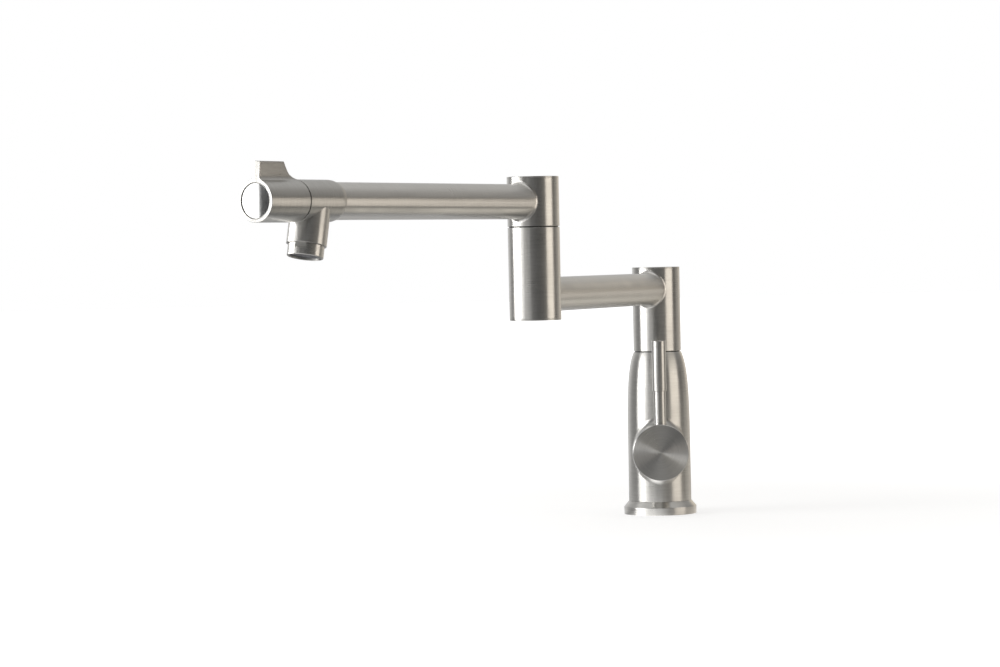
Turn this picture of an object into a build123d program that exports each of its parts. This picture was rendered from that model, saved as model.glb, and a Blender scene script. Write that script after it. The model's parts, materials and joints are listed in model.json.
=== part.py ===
from build123d import *
from math import cos, radians, sin, sqrt
import os

os.makedirs("parts", exist_ok=True)

# ---------------------------------------------------------------- fits
# Gaps between pieces, per side. A fixed pair sits with a hair of room,
# a turning pair runs with a little more.
fixed_gap = 0.02
running_gap = 0.05
ring_gap = 0.05
seam = 0.2

# ---------------------------------------------------------------- tap sizes
# The two upright columns share one tube. Everything else follows from
# the size of that tube, of the body and of the two arms.
column_radius = 19
column_wall = 2
column_bore = column_radius - column_wall
swivel_gap = 0.8
cap_plate = 1
cap_plug = 4.4
hexagon_sides = 6
socket_share = 0.5

body_radius = 25
body_top = 130
barrel_straight_top = 57.5

flange_radius = 29
flange_side = 6
flange_height = 10.5

lower_arm_height = 180.5
lower_arm_radius = 12.7
lower_arm_wall = 2
lower_arm_angle = 67.95
lower_arm_length = 252.8

upper_arm_rise = 18.7
upper_arm_radius = lower_arm_radius
upper_arm_wall = lower_arm_wall
upper_arm_angle = 56.8
upper_arm_length = 241.7

# The columns end a set way above and below the arms that they carry.
riser_crown = 17.5
elbow_drop = 18.5
elbow_rise = 49.4
elbow_crown = 18.4
riser_top = lower_arm_height + riser_crown
elbow_bottom = lower_arm_height - elbow_drop
elbow_split = lower_arm_height + elbow_rise
upper_arm_height = elbow_split + upper_arm_rise
elbow_top = upper_arm_height + elbow_crown

# ---------------------------------------------------------------- directions
# The arms leave each column level. Angles are measured from the -X side
# towards the front.
lower_x = -cos(radians(lower_arm_angle))
lower_y = -sin(radians(lower_arm_angle))
upper_x = -cos(radians(upper_arm_angle))
upper_y = -sin(radians(upper_arm_angle))
elbow_x = lower_arm_length * lower_x
elbow_y = lower_arm_length * lower_y

lower_out = Vector(lower_x, lower_y, 0)
upper_out = Vector(upper_x, upper_y, 0)
upward = Vector(0, 0, 1)
base_spot = Vector(0, 0, 0)
elbow_spot = Vector(elbow_x, elbow_y, 0)


def level(spot, height):
    """A level plane over a spot on the deck."""
    return Plane(origin=spot + upward * height, x_dir=(1, 0, 0), z_dir=(0, 0, 1))


def across(spot, height, facing, reach):
    """An upright plane that faces one way, some way out from a column."""
    start = spot + upward * height + facing * reach
    return Plane(origin=start, x_dir=(0, 0, 1), z_dir=facing)


def disc(plane, radius, length, bore=0):
    """A round bar, or a ring when it has a bore, standing on a plane."""
    with BuildPart() as made:
        with BuildSketch(plane):
            Circle(radius)
            if bore:
                Circle(bore, mode=Mode.SUBTRACT)
        extrude(amount=length)
    return made.part


def edges_at(part, plane, distance, radius):
    """The round edges of one radius at one distance in front of a plane."""
    found = ShapeList()
    for edge in part.edges().filter_by(GeomType.CIRCLE):
        spot = plane.to_local_coords(edge.arc_center)
        level_match = abs(spot.Z - distance) < fixed_gap / 2
        if level_match and abs(edge.radius - radius) < fixed_gap / 2:
            found.append(edge)
    return found


pieces = {}

# ---------------------------------------------------------------- base flange
# A turned foot with an upright side and a straight bevel. The gasket lies
# in a shallow recess under it, flush with the deck face.
spigot_radius = 20
gasket_depth = 2
gasket_radius = 26
deck_plane = level(base_spot, 0)

with BuildPart() as base_flange:
    with BuildSketch(Plane.XZ):
        with BuildLine():
            Polyline(
                (spigot_radius + fixed_gap, gasket_depth),
                (gasket_radius, gasket_depth),
                (gasket_radius, 0),
                (flange_radius, 0),
                (flange_radius, flange_side),
                (body_radius, flange_height),
                (spigot_radius + fixed_gap, flange_height),
                close=True,
            )
        make_face()
    revolve(axis=Axis.Z)
    outer_edge = edges_at(base_flange, deck_plane, flange_side, flange_radius)
    fillet(outer_edge, radius=seam * 2)
pieces["base_flange"] = base_flange

shank_radius = 16
gasket_bore = shank_radius + seam
with BuildPart() as base_gasket:
    add(disc(deck_plane, gasket_radius - fixed_gap, gasket_depth, gasket_bore))
pieces["base_gasket"] = base_gasket

# ---------------------------------------------------------------- valve body
# The barrel narrows in one sweep to the width of the column above it. A
# round boss stands out of its front for the lever.
shank_thread_top = 20
shank_socket_top = 22
water_radius = 6.5

hub_height = 51.5
hub_radius = 22.2
hub_front = 50.8
hub_depth = 18
hub_back = hub_front - hub_depth
boss_radius = 21.4
boss_front = hub_back - swivel_gap
boss_blend = 6
shoulder_pull = 42
neck_pull = 4.9
neck_drop = 11

nut_pocket_radius = 17
nut_pocket_depth = 8.5
cartridge_radius = 13
cartridge_front = boss_front - nut_pocket_depth
cartridge_length = 28
cartridge_end = cartridge_front - cartridge_length

post_spigot_radius = 12
post_spigot_bottom = 104
post_collar_radius = 15
post_collar_bottom = 126

front_plane = Plane(origin=(0, 0, hub_height), x_dir=(1, 0, 0), z_dir=(0, -1, 0))


def front(distance):
    """A plane on the lever's axis that faces the front."""
    return front_plane.offset(distance)


with BuildPart() as valve_body:
    with BuildSketch(Plane.XZ):
        with BuildLine():
            Polyline(
                (0, gasket_depth),
                (spigot_radius, gasket_depth),
                (spigot_radius, flange_height),
                (body_radius, flange_height),
                (body_radius, barrel_straight_top),
            )
            Bezier(
                (body_radius, barrel_straight_top),
                (body_radius, barrel_straight_top + shoulder_pull),
                (column_radius + neck_pull, body_top - neck_drop),
                (column_radius, body_top),
            )
            Polyline((column_radius, body_top), (0, body_top), (0, gasket_depth))
        make_face()
    revolve(axis=Axis.Z)
    before_boss = valve_body.edges()
    with BuildSketch(front_plane):
        Circle(boss_radius)
    extrude(amount=boss_front)
    boss_seam = valve_body.edges() - before_boss
    boss_seam = boss_seam.filter_by(GeomType.CIRCLE, reverse=True)
    boss_seam = boss_seam.filter_by(lambda edge: edge.center().Y < -seam)
    fillet(boss_seam, radius=boss_blend)
    boss_rim = edges_at(valve_body, front_plane, boss_front, boss_radius)
    chamfer(boss_rim, length=seam)
    # pocket for the cartridge and its nut
    with BuildSketch(front(boss_front)):
        Circle(nut_pocket_radius)
    extrude(amount=-nut_pocket_depth, mode=Mode.SUBTRACT)
    with BuildSketch(front(cartridge_front)):
        Circle(cartridge_radius)
    extrude(amount=-cartridge_length, mode=Mode.SUBTRACT)
    # waterway, shank socket and post seat
    with BuildSketch(level(base_spot, gasket_depth)):
        Circle(water_radius)
    extrude(amount=body_top - gasket_depth, mode=Mode.SUBTRACT)
    with BuildSketch(level(base_spot, gasket_depth)):
        Circle(shank_radius)
    extrude(amount=shank_socket_top - gasket_depth, mode=Mode.SUBTRACT)
    with BuildSketch(level(base_spot, body_top)):
        Circle(post_spigot_radius)
    extrude(amount=post_spigot_bottom - body_top, mode=Mode.SUBTRACT)
    with BuildSketch(level(base_spot, body_top)):
        Circle(post_collar_radius)
    extrude(amount=post_collar_bottom - body_top, mode=Mode.SUBTRACT)
pieces["valve_body"] = valve_body

# ---------------------------------------------------------------- fixing under the deck
# The shank passes a hole in the deck. A rubber washer, a steel washer and
# a hexagon nut pull the flange down on it.
deck_thickness = 30
shank_bottom = -58
rubber_washer_height = 3
steel_washer_height = 2
nut_height = 10
nut_flats = 44
washer_radius = 24
steel_washer_radius = 25
shank_lead = 1
tail_socket_radius = 9
tail_socket_depth = 10

with BuildPart() as mounting_shank:
    shank_length = shank_thread_top - shank_bottom
    add(disc(level(base_spot, shank_bottom), shank_radius - fixed_gap, shank_length, water_radius))
    with BuildSketch(level(base_spot, shank_bottom)):
        Circle(tail_socket_radius)
    extrude(amount=tail_socket_depth, mode=Mode.SUBTRACT)
    shank_foot = edges_at(mounting_shank, deck_plane, shank_bottom, shank_radius - fixed_gap)
    chamfer(shank_foot, length=shank_lead)
pieces["mounting_shank"] = mounting_shank

rubber_bottom = -deck_thickness - rubber_washer_height
steel_bottom = rubber_bottom - steel_washer_height
nut_bottom = steel_bottom - nut_height
with BuildPart() as clamp_rubber_washer:
    add(disc(level(base_spot, rubber_bottom), washer_radius, rubber_washer_height, shank_radius + seam))
pieces["clamp_rubber_washer"] = clamp_rubber_washer

with BuildPart() as clamp_steel_washer:
    steel_foot = level(base_spot, steel_bottom)
    add(disc(steel_foot, steel_washer_radius, steel_washer_height, shank_radius + seam))
pieces["clamp_steel_washer"] = clamp_steel_washer

with BuildPart() as mounting_nut:
    with BuildSketch(level(base_spot, nut_bottom)):
        RegularPolygon(nut_flats / 2, hexagon_sides, major_radius=False)
        Circle(shank_radius, mode=Mode.SUBTRACT)
    extrude(amount=nut_height)
pieces["mounting_nut"] = mounting_nut

# ---------------------------------------------------------------- inlet tail
# A brass tail with a male half-inch end takes the cold supply hose.
tail_thread_radius = 10.48
tail_thread_length = 16
tail_collar_radius = 13
tail_collar_height = 4
tail_collar_bottom = shank_bottom - tail_collar_height
tail_bottom = tail_collar_bottom - tail_thread_length
with BuildPart() as inlet_tail:
    add(disc(level(base_spot, tail_bottom), tail_thread_radius, tail_thread_length))
    with BuildSketch(level(base_spot, tail_collar_bottom)):
        RegularPolygon(tail_collar_radius, hexagon_sides, major_radius=False)
    extrude(amount=tail_collar_height)
    add(disc(level(base_spot, shank_bottom), tail_socket_radius - fixed_gap, tail_socket_depth))
    with BuildSketch(level(base_spot, tail_bottom)):
        Circle(water_radius)
    extrude(amount=shank_bottom + tail_socket_depth - tail_bottom, mode=Mode.SUBTRACT)
    chamfer(edges_at(inlet_tail, deck_plane, tail_bottom, tail_thread_radius), length=seam * 3)
pieces["inlet_tail"] = inlet_tail

# ---------------------------------------------------------------- main valve
# A ceramic disc cartridge lies behind the lever. Its spindle turns in the
# cartridge and carries one disc over the other.
spindle_radius = 5
hub_face_wall = 6
cartridge_lip = 3
spindle_front = hub_front - hub_face_wall
spindle_collar_front = cartridge_front - cartridge_lip
disc_radius = 8.5
disc_height = 3.5
collar_height = 4
disc_port_radius = 1.8
disc_port_reach = 4.8
turning_front = spindle_collar_front - ring_gap - collar_height
seat_front = turning_front - disc_height - ring_gap
seat_back = seat_front - disc_height
cartridge_port_radius = 5

with BuildPart() as main_cartridge:
    add(disc(front(cartridge_end), cartridge_radius - fixed_gap, cartridge_length))
    with BuildSketch(front(seat_back)):
        Circle(disc_radius + running_gap)
    extrude(amount=spindle_collar_front - seat_back, mode=Mode.SUBTRACT)
    with BuildSketch(front(spindle_collar_front)):
        Circle(spindle_radius + running_gap)
    extrude(amount=cartridge_front - spindle_collar_front, mode=Mode.SUBTRACT)
    with BuildSketch(level(base_spot, hub_height)):
        Circle(cartridge_port_radius)
    extrude(amount=cartridge_radius, both=True, mode=Mode.SUBTRACT)
    with BuildSketch(front(seat_back)):
        with PolarLocations(disc_port_reach, 2):
            Circle(disc_port_radius)
    extrude(amount=cartridge_end + cartridge_port_radius - seat_back, mode=Mode.SUBTRACT)
pieces["main_cartridge"] = main_cartridge


def ceramic_disc(face, height):
    """A flat ceramic disc with two round water ports."""
    with BuildPart() as made:
        with BuildSketch(face):
            Circle(disc_radius)
            with PolarLocations(disc_port_reach, 2):
                Circle(disc_port_radius, mode=Mode.SUBTRACT)
        extrude(amount=-height)
    return made.part


with BuildPart() as seat_disc:
    add(ceramic_disc(front(seat_front), disc_height))
pieces["seat_disc"] = seat_disc

with BuildPart() as turning_disc:
    add(ceramic_disc(front(turning_front), disc_height))
pieces["turning_disc"] = turning_disc

with BuildPart() as cartridge_spindle:
    add(disc(front(turning_front), disc_radius, collar_height))
    spindle_length = spindle_front - turning_front
    add(disc(front(turning_front), spindle_radius - fixed_gap, spindle_length))
pieces["cartridge_spindle"] = cartridge_spindle

nut_bore = 7
with BuildPart() as cartridge_nut:
    nut_depth = nut_pocket_depth - swivel_gap
    add(disc(front(cartridge_front), nut_pocket_radius - fixed_gap, nut_depth, nut_bore))
    with BuildSketch(front(boss_front - swivel_gap)):
        with PolarLocations((nut_bore + nut_pocket_radius) / 2, 2):
            Circle(disc_port_radius)
    extrude(amount=-nut_depth / 2, mode=Mode.SUBTRACT)
pieces["cartridge_nut"] = cartridge_nut

# ---------------------------------------------------------------- lever
# A spun disc turns in front of the boss. A rod stands out of its rim, with
# a slim stem below and a thicker grip above.
rod_reach = hub_back + hub_depth / 2
stem_radius = 4.85
grip_radius = 5.6
grip_bottom = 100
grip_top = 140
rod_spigot_radius = 3
rod_spigot_length = 10
hub_screw_radius = 2
hub_screw_length = 8
hub_crown = hub_height + hub_radius
rod_spot = Vector(0, -rod_reach, 0)

with BuildPart() as lever_hub:
    add(disc(front(hub_back), hub_radius, hub_depth))
    fillet(edges_at(lever_hub, front_plane, hub_front, hub_radius), radius=seam * 3)
    fillet(edges_at(lever_hub, front_plane, hub_back, hub_radius), radius=seam * 2)
    with BuildSketch(front(hub_back)):
        Circle(spindle_radius)
    extrude(amount=spindle_front - hub_back, mode=Mode.SUBTRACT)
    with BuildSketch(level(rod_spot, hub_crown - rod_spigot_length)):
        Circle(rod_spigot_radius)
    extrude(amount=rod_spigot_length * 2, mode=Mode.SUBTRACT)
    with BuildSketch(level(rod_spot, hub_height)):
        Circle(hub_screw_radius + fixed_gap)
    extrude(amount=-hub_radius - seam, mode=Mode.SUBTRACT)
pieces["lever_hub"] = lever_hub

screw_top = hub_height - spindle_radius
with BuildPart() as hub_grub_screw:
    add(disc(level(rod_spot, screw_top - hub_screw_length), hub_screw_radius, hub_screw_length))
    with BuildSketch(level(rod_spot, screw_top - hub_screw_length)):
        RegularPolygon(hub_screw_radius * socket_share, hexagon_sides, major_radius=False)
    extrude(amount=hub_screw_radius, mode=Mode.SUBTRACT)
pieces["hub_grub_screw"] = hub_grub_screw

stem_foot = hub_height + sqrt(hub_radius**2 - stem_radius**2)
with BuildPart() as lever_stem:
    add(disc(level(rod_spot, stem_foot), stem_radius, grip_bottom - stem_foot))
    with BuildSketch(front(0)):
        Circle(hub_radius)
    extrude(amount=hub_front * 2, mode=Mode.SUBTRACT)
    spigot_foot = hub_crown - rod_spigot_length
    spigot_length = grip_bottom + rod_spigot_length - spigot_foot
    add(disc(level(rod_spot, spigot_foot), rod_spigot_radius - fixed_gap, spigot_length))
    fillet(edges_at(lever_stem, deck_plane, grip_bottom, stem_radius), radius=seam)
pieces["lever_stem"] = lever_stem

with BuildPart() as lever_grip:
    add(disc(level(rod_spot, grip_bottom), grip_radius, grip_top - grip_bottom))
    with BuildSketch(level(rod_spot, grip_bottom)):
        Circle(rod_spigot_radius)
    extrude(amount=rod_spigot_length + seam, mode=Mode.SUBTRACT)
    fillet(edges_at(lever_grip, deck_plane, grip_top, grip_radius), radius=seam * 3)
    fillet(edges_at(lever_grip, deck_plane, grip_bottom, grip_radius), radius=seam)
pieces["lever_grip"] = lever_grip

# ---------------------------------------------------------------- swivels
# Both swivels are alike: a hollow brass post turns in a sleeve, two
# O-rings seal it, and a grub screw in a groove keeps it from lifting out.
post_radius = 14 - running_gap
sleeve_bore = 14
groove_radius = 12
groove_height = 2.2
seal_radius = 0.97
grub_radius = 2.5
grub_tip_gap = 0.6
grub_sink = 0.4
grub_groove_height = 2 * grub_radius + grub_tip_gap
ring_radius = 18
post_bore = 8


def swivel_post(spot, bottom, top, seal_heights, grub_height):
    """A hollow post with two seal grooves and one groove for the grub screw."""
    with BuildPart() as made:
        add(disc(level(spot, bottom), post_radius, top - bottom))
        for height in seal_heights:
            with BuildSketch(level(spot, height - groove_height / 2)):
                Circle(post_radius + seam)
                Circle(groove_radius, mode=Mode.SUBTRACT)
            extrude(amount=groove_height, mode=Mode.SUBTRACT)
        with BuildSketch(level(spot, grub_height - grub_groove_height / 2)):
            Circle(post_radius + seam)
            Circle(groove_radius, mode=Mode.SUBTRACT)
        extrude(amount=grub_groove_height, mode=Mode.SUBTRACT)
    return made.part


def seal_rings(spot, heights):
    """One O-ring at each height, lying in its groove."""
    ring_middle = groove_radius + seal_radius + fixed_gap
    with BuildPart() as made:
        for height in heights:
            start = spot + upward * height + Vector(ring_middle, 0, 0)
            with BuildSketch(Plane(origin=start, x_dir=(1, 0, 0), z_dir=(0, -1, 0))):
                Circle(seal_radius)
            revolve(axis=Axis(tuple(spot), (0, 0, 1)))
    return made.part


def grub_hole(spot, height, out, bore):
    """The round hole a grub screw fills, from the post's groove to the outside."""
    return disc(across(spot, height, out, groove_radius), bore, column_radius)


def grub_screw(spot, height, out):
    """A headless screw with a hexagon socket, its point inside the groove."""
    tip = groove_radius + grub_tip_gap
    back = column_radius - grub_sink
    with BuildPart() as made:
        add(disc(across(spot, height, out, tip), grub_radius, back - tip))
        with BuildSketch(across(spot, height, out, back)):
            RegularPolygon(grub_radius * socket_share, hexagon_sides, major_radius=False)
        extrude(amount=-grub_radius, mode=Mode.SUBTRACT)
    return made.part


# ---------------------------------------------------------------- base swivel
# The post is screwed down into the body. The column turns on it.
post_clear = 3.8
low_seal_share = 0.28
high_seal_share = 0.56
grub_share = 0.81
lower_arm_bore = lower_arm_radius - lower_arm_wall
post_top = lower_arm_height - lower_arm_bore - post_clear
post_rise = post_top - body_top
riser_seals = (body_top + post_rise * low_seal_share, body_top + post_rise * high_seal_share)
riser_grub = body_top + post_rise * grub_share
column_bottom = body_top + swivel_gap

with BuildPart() as riser_post:
    add(swivel_post(base_spot, body_top, post_top, riser_seals, riser_grub))
    collar_depth = body_top - post_collar_bottom
    add(disc(level(base_spot, post_collar_bottom), post_collar_radius - fixed_gap, collar_depth))
    spigot_depth = post_collar_bottom - post_spigot_bottom
    add(disc(level(base_spot, post_spigot_bottom), post_spigot_radius - fixed_gap, spigot_depth))
    with BuildSketch(level(base_spot, post_spigot_bottom)):
        Circle(post_bore)
    extrude(amount=post_top - post_spigot_bottom, mode=Mode.SUBTRACT)
pieces["riser_post"] = riser_post

with BuildPart() as riser_o_rings:
    add(seal_rings(base_spot, riser_seals))
pieces["riser_o_rings"] = riser_o_rings

with BuildPart() as riser_bearing_ring:
    add(disc(level(base_spot, body_top), ring_radius, swivel_gap - ring_gap, sleeve_bore))
pieces["riser_bearing_ring"] = riser_bearing_ring

# The turning column: a tube with a sleeve inside, a disc cap on top and a
# round port where the lower arm is welded on.
riser_tube_top = riser_top - cap_plate
with BuildPart() as riser_column:
    add(disc(level(base_spot, column_bottom), column_radius, riser_tube_top - column_bottom, column_bore))
    with BuildSketch(across(base_spot, lower_arm_height, lower_out, 0)):
        Circle(lower_arm_bore)
    extrude(amount=column_radius * 2, mode=Mode.SUBTRACT)
    add(grub_hole(base_spot, riser_grub, -lower_out, grub_radius + fixed_gap), mode=Mode.SUBTRACT)
    chamfer(edges_at(riser_column, deck_plane, riser_tube_top, column_radius), length=seam)
    chamfer(edges_at(riser_column, deck_plane, column_bottom, column_radius), length=seam)
pieces["riser_column"] = riser_column

with BuildPart() as riser_sleeve:
    sleeve_length = post_top - column_bottom
    add(disc(level(base_spot, column_bottom), column_bore - fixed_gap, sleeve_length, sleeve_bore))
    add(grub_hole(base_spot, riser_grub, -lower_out, grub_radius + fixed_gap), mode=Mode.SUBTRACT)
pieces["riser_sleeve"] = riser_sleeve

with BuildPart() as riser_grub_screw:
    add(grub_screw(base_spot, riser_grub, -lower_out))
pieces["riser_grub_screw"] = riser_grub_screw


def end_cap(spot, seat, facing):
    """A disc cap with a plug that fills the end of a column tube."""
    outside = Plane(origin=spot + upward * seat, x_dir=(1, 0, 0), z_dir=(0, 0, facing))
    with BuildPart() as made:
        add(disc(outside, column_radius, cap_plate))
        add(disc(outside, column_bore - fixed_gap, -cap_plug))
        fillet(edges_at(made, outside, cap_plate, column_radius), radius=seam * 2)
        chamfer(edges_at(made, outside, 0, column_radius), length=seam)
    return made.part


with BuildPart() as riser_cap:
    add(end_cap(base_spot, riser_tube_top, 1))
pieces["riser_cap"] = riser_cap

# ---------------------------------------------------------------- lower arm
# A round tube, cut to the shape of each column and welded to it. The weld
# is ground to a small hollow blend that belongs to the tube.
weld_blend = 2.5


def coped_arm(spot, height, out, radius, wall, length, columns):
    """A tube whose ends are cut to the columns, with the weld's blend on it."""
    with BuildPart() as made:
        with BuildSketch(across(spot, height, out, 0)):
            Circle(radius)
        extrude(amount=length)
        tube_edges = made.edges()
        for column in columns:
            foot = level(column, height - radius * 2)
            add(disc(foot, column_radius, radius * 4))
        welds = made.edges() - tube_edges
        welds = welds.filter_by(GeomType.CIRCLE, reverse=True)
        welds = welds.filter_by(GeomType.LINE, reverse=True)
        fillet(welds, radius=weld_blend)
        for column in columns:
            foot = level(column, height - radius * 4)
            add(disc(foot, column_radius, radius * 8), mode=Mode.SUBTRACT)
        with BuildSketch(across(spot, height, out, 0)):
            Circle(radius - wall)
        extrude(amount=length, mode=Mode.SUBTRACT)
    return made.part


with BuildPart() as lower_arm_tube:
    both_columns = (base_spot, elbow_spot)
    add(
        coped_arm(
            base_spot,
            lower_arm_height,
            lower_out,
            lower_arm_radius,
            lower_arm_wall,
            lower_arm_length,
            both_columns,
        )
    )
pieces["lower_arm_tube"] = lower_arm_tube

# ---------------------------------------------------------------- elbow, lower half
# The housing carries the sleeve. A disc cap closes it below.
sleeve_clear = 5.8
post_inset = 2
elbow_low_seal_share = 0.26
elbow_grub_share = 0.485
elbow_high_seal_share = 0.71
elbow_tube_bottom = elbow_bottom + cap_plate
elbow_sleeve_bottom = lower_arm_height + lower_arm_bore + sleeve_clear
elbow_post_bottom = elbow_sleeve_bottom + post_inset
elbow_post_drop = elbow_split - elbow_post_bottom
elbow_low_seal = elbow_post_bottom + elbow_post_drop * elbow_low_seal_share
elbow_high_seal = elbow_post_bottom + elbow_post_drop * elbow_high_seal_share
elbow_seals = (elbow_low_seal, elbow_high_seal)
elbow_grub = elbow_post_bottom + elbow_post_drop * elbow_grub_share
with BuildPart() as elbow_housing:
    housing_length = elbow_split - elbow_tube_bottom
    add(disc(level(elbow_spot, elbow_tube_bottom), column_radius, housing_length, column_bore))
    with BuildSketch(across(elbow_spot, lower_arm_height, -lower_out, 0)):
        Circle(lower_arm_bore)
    extrude(amount=column_radius * 2, mode=Mode.SUBTRACT)
    add(grub_hole(elbow_spot, elbow_grub, -lower_out, grub_radius + fixed_gap), mode=Mode.SUBTRACT)
    chamfer(edges_at(elbow_housing, deck_plane, elbow_tube_bottom, column_radius), length=seam)
    chamfer(edges_at(elbow_housing, deck_plane, elbow_split, column_radius), length=seam)
pieces["elbow_housing"] = elbow_housing

with BuildPart() as elbow_bottom_cap:
    add(end_cap(elbow_spot, elbow_tube_bottom, -1))
pieces["elbow_bottom_cap"] = elbow_bottom_cap

with BuildPart() as elbow_sleeve:
    elbow_sleeve_length = elbow_split - elbow_sleeve_bottom
    sleeve_foot = level(elbow_spot, elbow_sleeve_bottom)
    add(disc(sleeve_foot, column_bore - fixed_gap, elbow_sleeve_length, sleeve_bore))
    add(grub_hole(elbow_spot, elbow_grub, -lower_out, grub_radius + fixed_gap), mode=Mode.SUBTRACT)
pieces["elbow_sleeve"] = elbow_sleeve

with BuildPart() as elbow_grub_screw:
    add(grub_screw(elbow_spot, elbow_grub, -lower_out))
pieces["elbow_grub_screw"] = elbow_grub_screw

with BuildPart() as elbow_bearing_ring:
    add(disc(level(elbow_spot, elbow_split), ring_radius, swivel_gap - ring_gap, sleeve_bore))
pieces["elbow_bearing_ring"] = elbow_bearing_ring

# ---------------------------------------------------------------- elbow, upper half
# The post hangs from the upper column into the sleeve below.
upper_column_bottom = elbow_split + swivel_gap
upper_tube_top = elbow_top - cap_plate
collar_shelf = 1
upper_arm_bore = upper_arm_radius - upper_arm_wall
elbow_collar_top = upper_arm_height - upper_arm_bore - collar_shelf
with BuildPart() as elbow_column:
    upper_column_length = upper_tube_top - upper_column_bottom
    add(disc(level(elbow_spot, upper_column_bottom), column_radius, upper_column_length, column_bore))
    with BuildSketch(across(elbow_spot, upper_arm_height, upper_out, 0)):
        Circle(upper_arm_bore)
    extrude(amount=column_radius * 2, mode=Mode.SUBTRACT)
    chamfer(edges_at(elbow_column, deck_plane, upper_tube_top, column_radius), length=seam)
    chamfer(edges_at(elbow_column, deck_plane, upper_column_bottom, column_radius), length=seam)
pieces["elbow_column"] = elbow_column

with BuildPart() as elbow_top_cap:
    add(end_cap(elbow_spot, upper_tube_top, 1))
pieces["elbow_top_cap"] = elbow_top_cap

with BuildPart() as elbow_post:
    add(swivel_post(elbow_spot, elbow_post_bottom, upper_column_bottom, elbow_seals, elbow_grub))
    elbow_collar_height = elbow_collar_top - upper_column_bottom
    collar_foot = level(elbow_spot, upper_column_bottom)
    add(disc(collar_foot, column_bore - fixed_gap, elbow_collar_height))
    with BuildSketch(level(elbow_spot, elbow_post_bottom)):
        Circle(post_bore)
    extrude(amount=elbow_collar_top - elbow_post_bottom, mode=Mode.SUBTRACT)
pieces["elbow_post"] = elbow_post

with BuildPart() as elbow_o_rings:
    add(seal_rings(elbow_spot, elbow_seals))
pieces["elbow_o_rings"] = elbow_o_rings

# ---------------------------------------------------------------- upper arm
# The upper tube runs level from the elbow to the outlet body.
with BuildPart() as upper_arm_tube:
    upper_column_only = (elbow_spot,)
    add(
        coped_arm(
            elbow_spot,
            upper_arm_height,
            upper_out,
            upper_arm_radius,
            upper_arm_wall,
            upper_arm_length,
            upper_column_only,
        )
    )
pieces["upper_arm_tube"] = upper_arm_tube

# ---------------------------------------------------------------- outlet body
# A short cylinder on the arm's axis, with a spout stub that leans towards
# the handle. The second cartridge lies inside it.
outlet_radius = 14.2
outlet_length = 40
outlet_start = upper_arm_length
outlet_end = outlet_start + outlet_length
stub_reach = 22.4
stub_lean = 12.4
stub_radius = 13.5
stub_length = 30
stub_water_radius = 8
shoulder_length = 6
shoulder_foot = upper_arm_radius + seam
thread_radius = 11.5
thread_depth = 7
handle_nut_radius = 11
handle_nut_depth = 5.5
small_cartridge_radius = 9.5
small_cartridge_seat = 10.3
small_cartridge_start = outlet_start + small_cartridge_seat
small_cartridge_end = outlet_end - handle_nut_depth
small_spindle_radius = 4

lean = radians(stub_lean)
stub_out = upper_out * sin(lean) - upward * cos(lean)
stub_side = upper_out.cross(upward)
upper_arm_spot = elbow_spot + upward * upper_arm_height
stub_root = upper_arm_spot + upper_out * (outlet_start + stub_reach)


def along(reach):
    """A plane across the upper arm's axis, some way out from the elbow."""
    return across(elbow_spot, upper_arm_height, upper_out, reach)


def down_stub(reach):
    """A plane across the spout stub, some way down from the arm's axis."""
    return Plane(origin=stub_root + stub_out * reach, x_dir=stub_side, z_dir=stub_out)


with BuildPart() as outlet_body:
    with BuildSketch(Plane(origin=upper_arm_spot, x_dir=upper_out, z_dir=-stub_side)):
        with BuildLine():
            Polyline((outlet_start, shoulder_foot), (outlet_start, 0), (outlet_end, 0), (outlet_end, outlet_radius))
            Line((outlet_end, outlet_radius), (outlet_start + shoulder_length, outlet_radius))
            Bezier(
                (outlet_start + shoulder_length, outlet_radius),
                (outlet_start + shoulder_length / 2, outlet_radius),
                (outlet_start, shoulder_foot),
            )
        make_face()
    revolve(axis=Axis(tuple(upper_arm_spot), tuple(upper_out)))
    add(disc(down_stub(0), stub_radius, stub_length))
    with BuildSketch(along(outlet_start)):
        Circle(small_cartridge_radius)
    extrude(amount=outlet_length, mode=Mode.SUBTRACT)
    with BuildSketch(along(small_cartridge_end)):
        Circle(handle_nut_radius)
    extrude(amount=handle_nut_depth, mode=Mode.SUBTRACT)
    with BuildSketch(down_stub(0)):
        Circle(stub_water_radius)
    extrude(amount=stub_length, mode=Mode.SUBTRACT)
    with BuildSketch(down_stub(stub_length)):
        Circle(thread_radius)
    extrude(amount=-thread_depth, mode=Mode.SUBTRACT)
    chamfer(edges_at(outlet_body, down_stub(0), stub_length, stub_radius), length=seam)
    chamfer(edges_at(outlet_body, along(0), outlet_end, outlet_radius), length=seam)
pieces["outlet_body"] = outlet_body

# ---------------------------------------------------------------- outlet valve
# A small ceramic cartridge with its nut and a spindle that the handle turns.
small_collar_radius = 6.5
small_collar_height = 3
small_cartridge_lip = 2.5
small_collar_end = small_cartridge_end - small_cartridge_lip
small_collar_start = small_collar_end - ring_gap - small_collar_height
small_port_radius = 5
handle_start = outlet_end + swivel_gap
handle_socket_depth = 18
small_spindle_end = handle_start + handle_socket_depth
handle_screw_radius = 2
handle_screw_length = 12
handle_wall = 5

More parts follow.
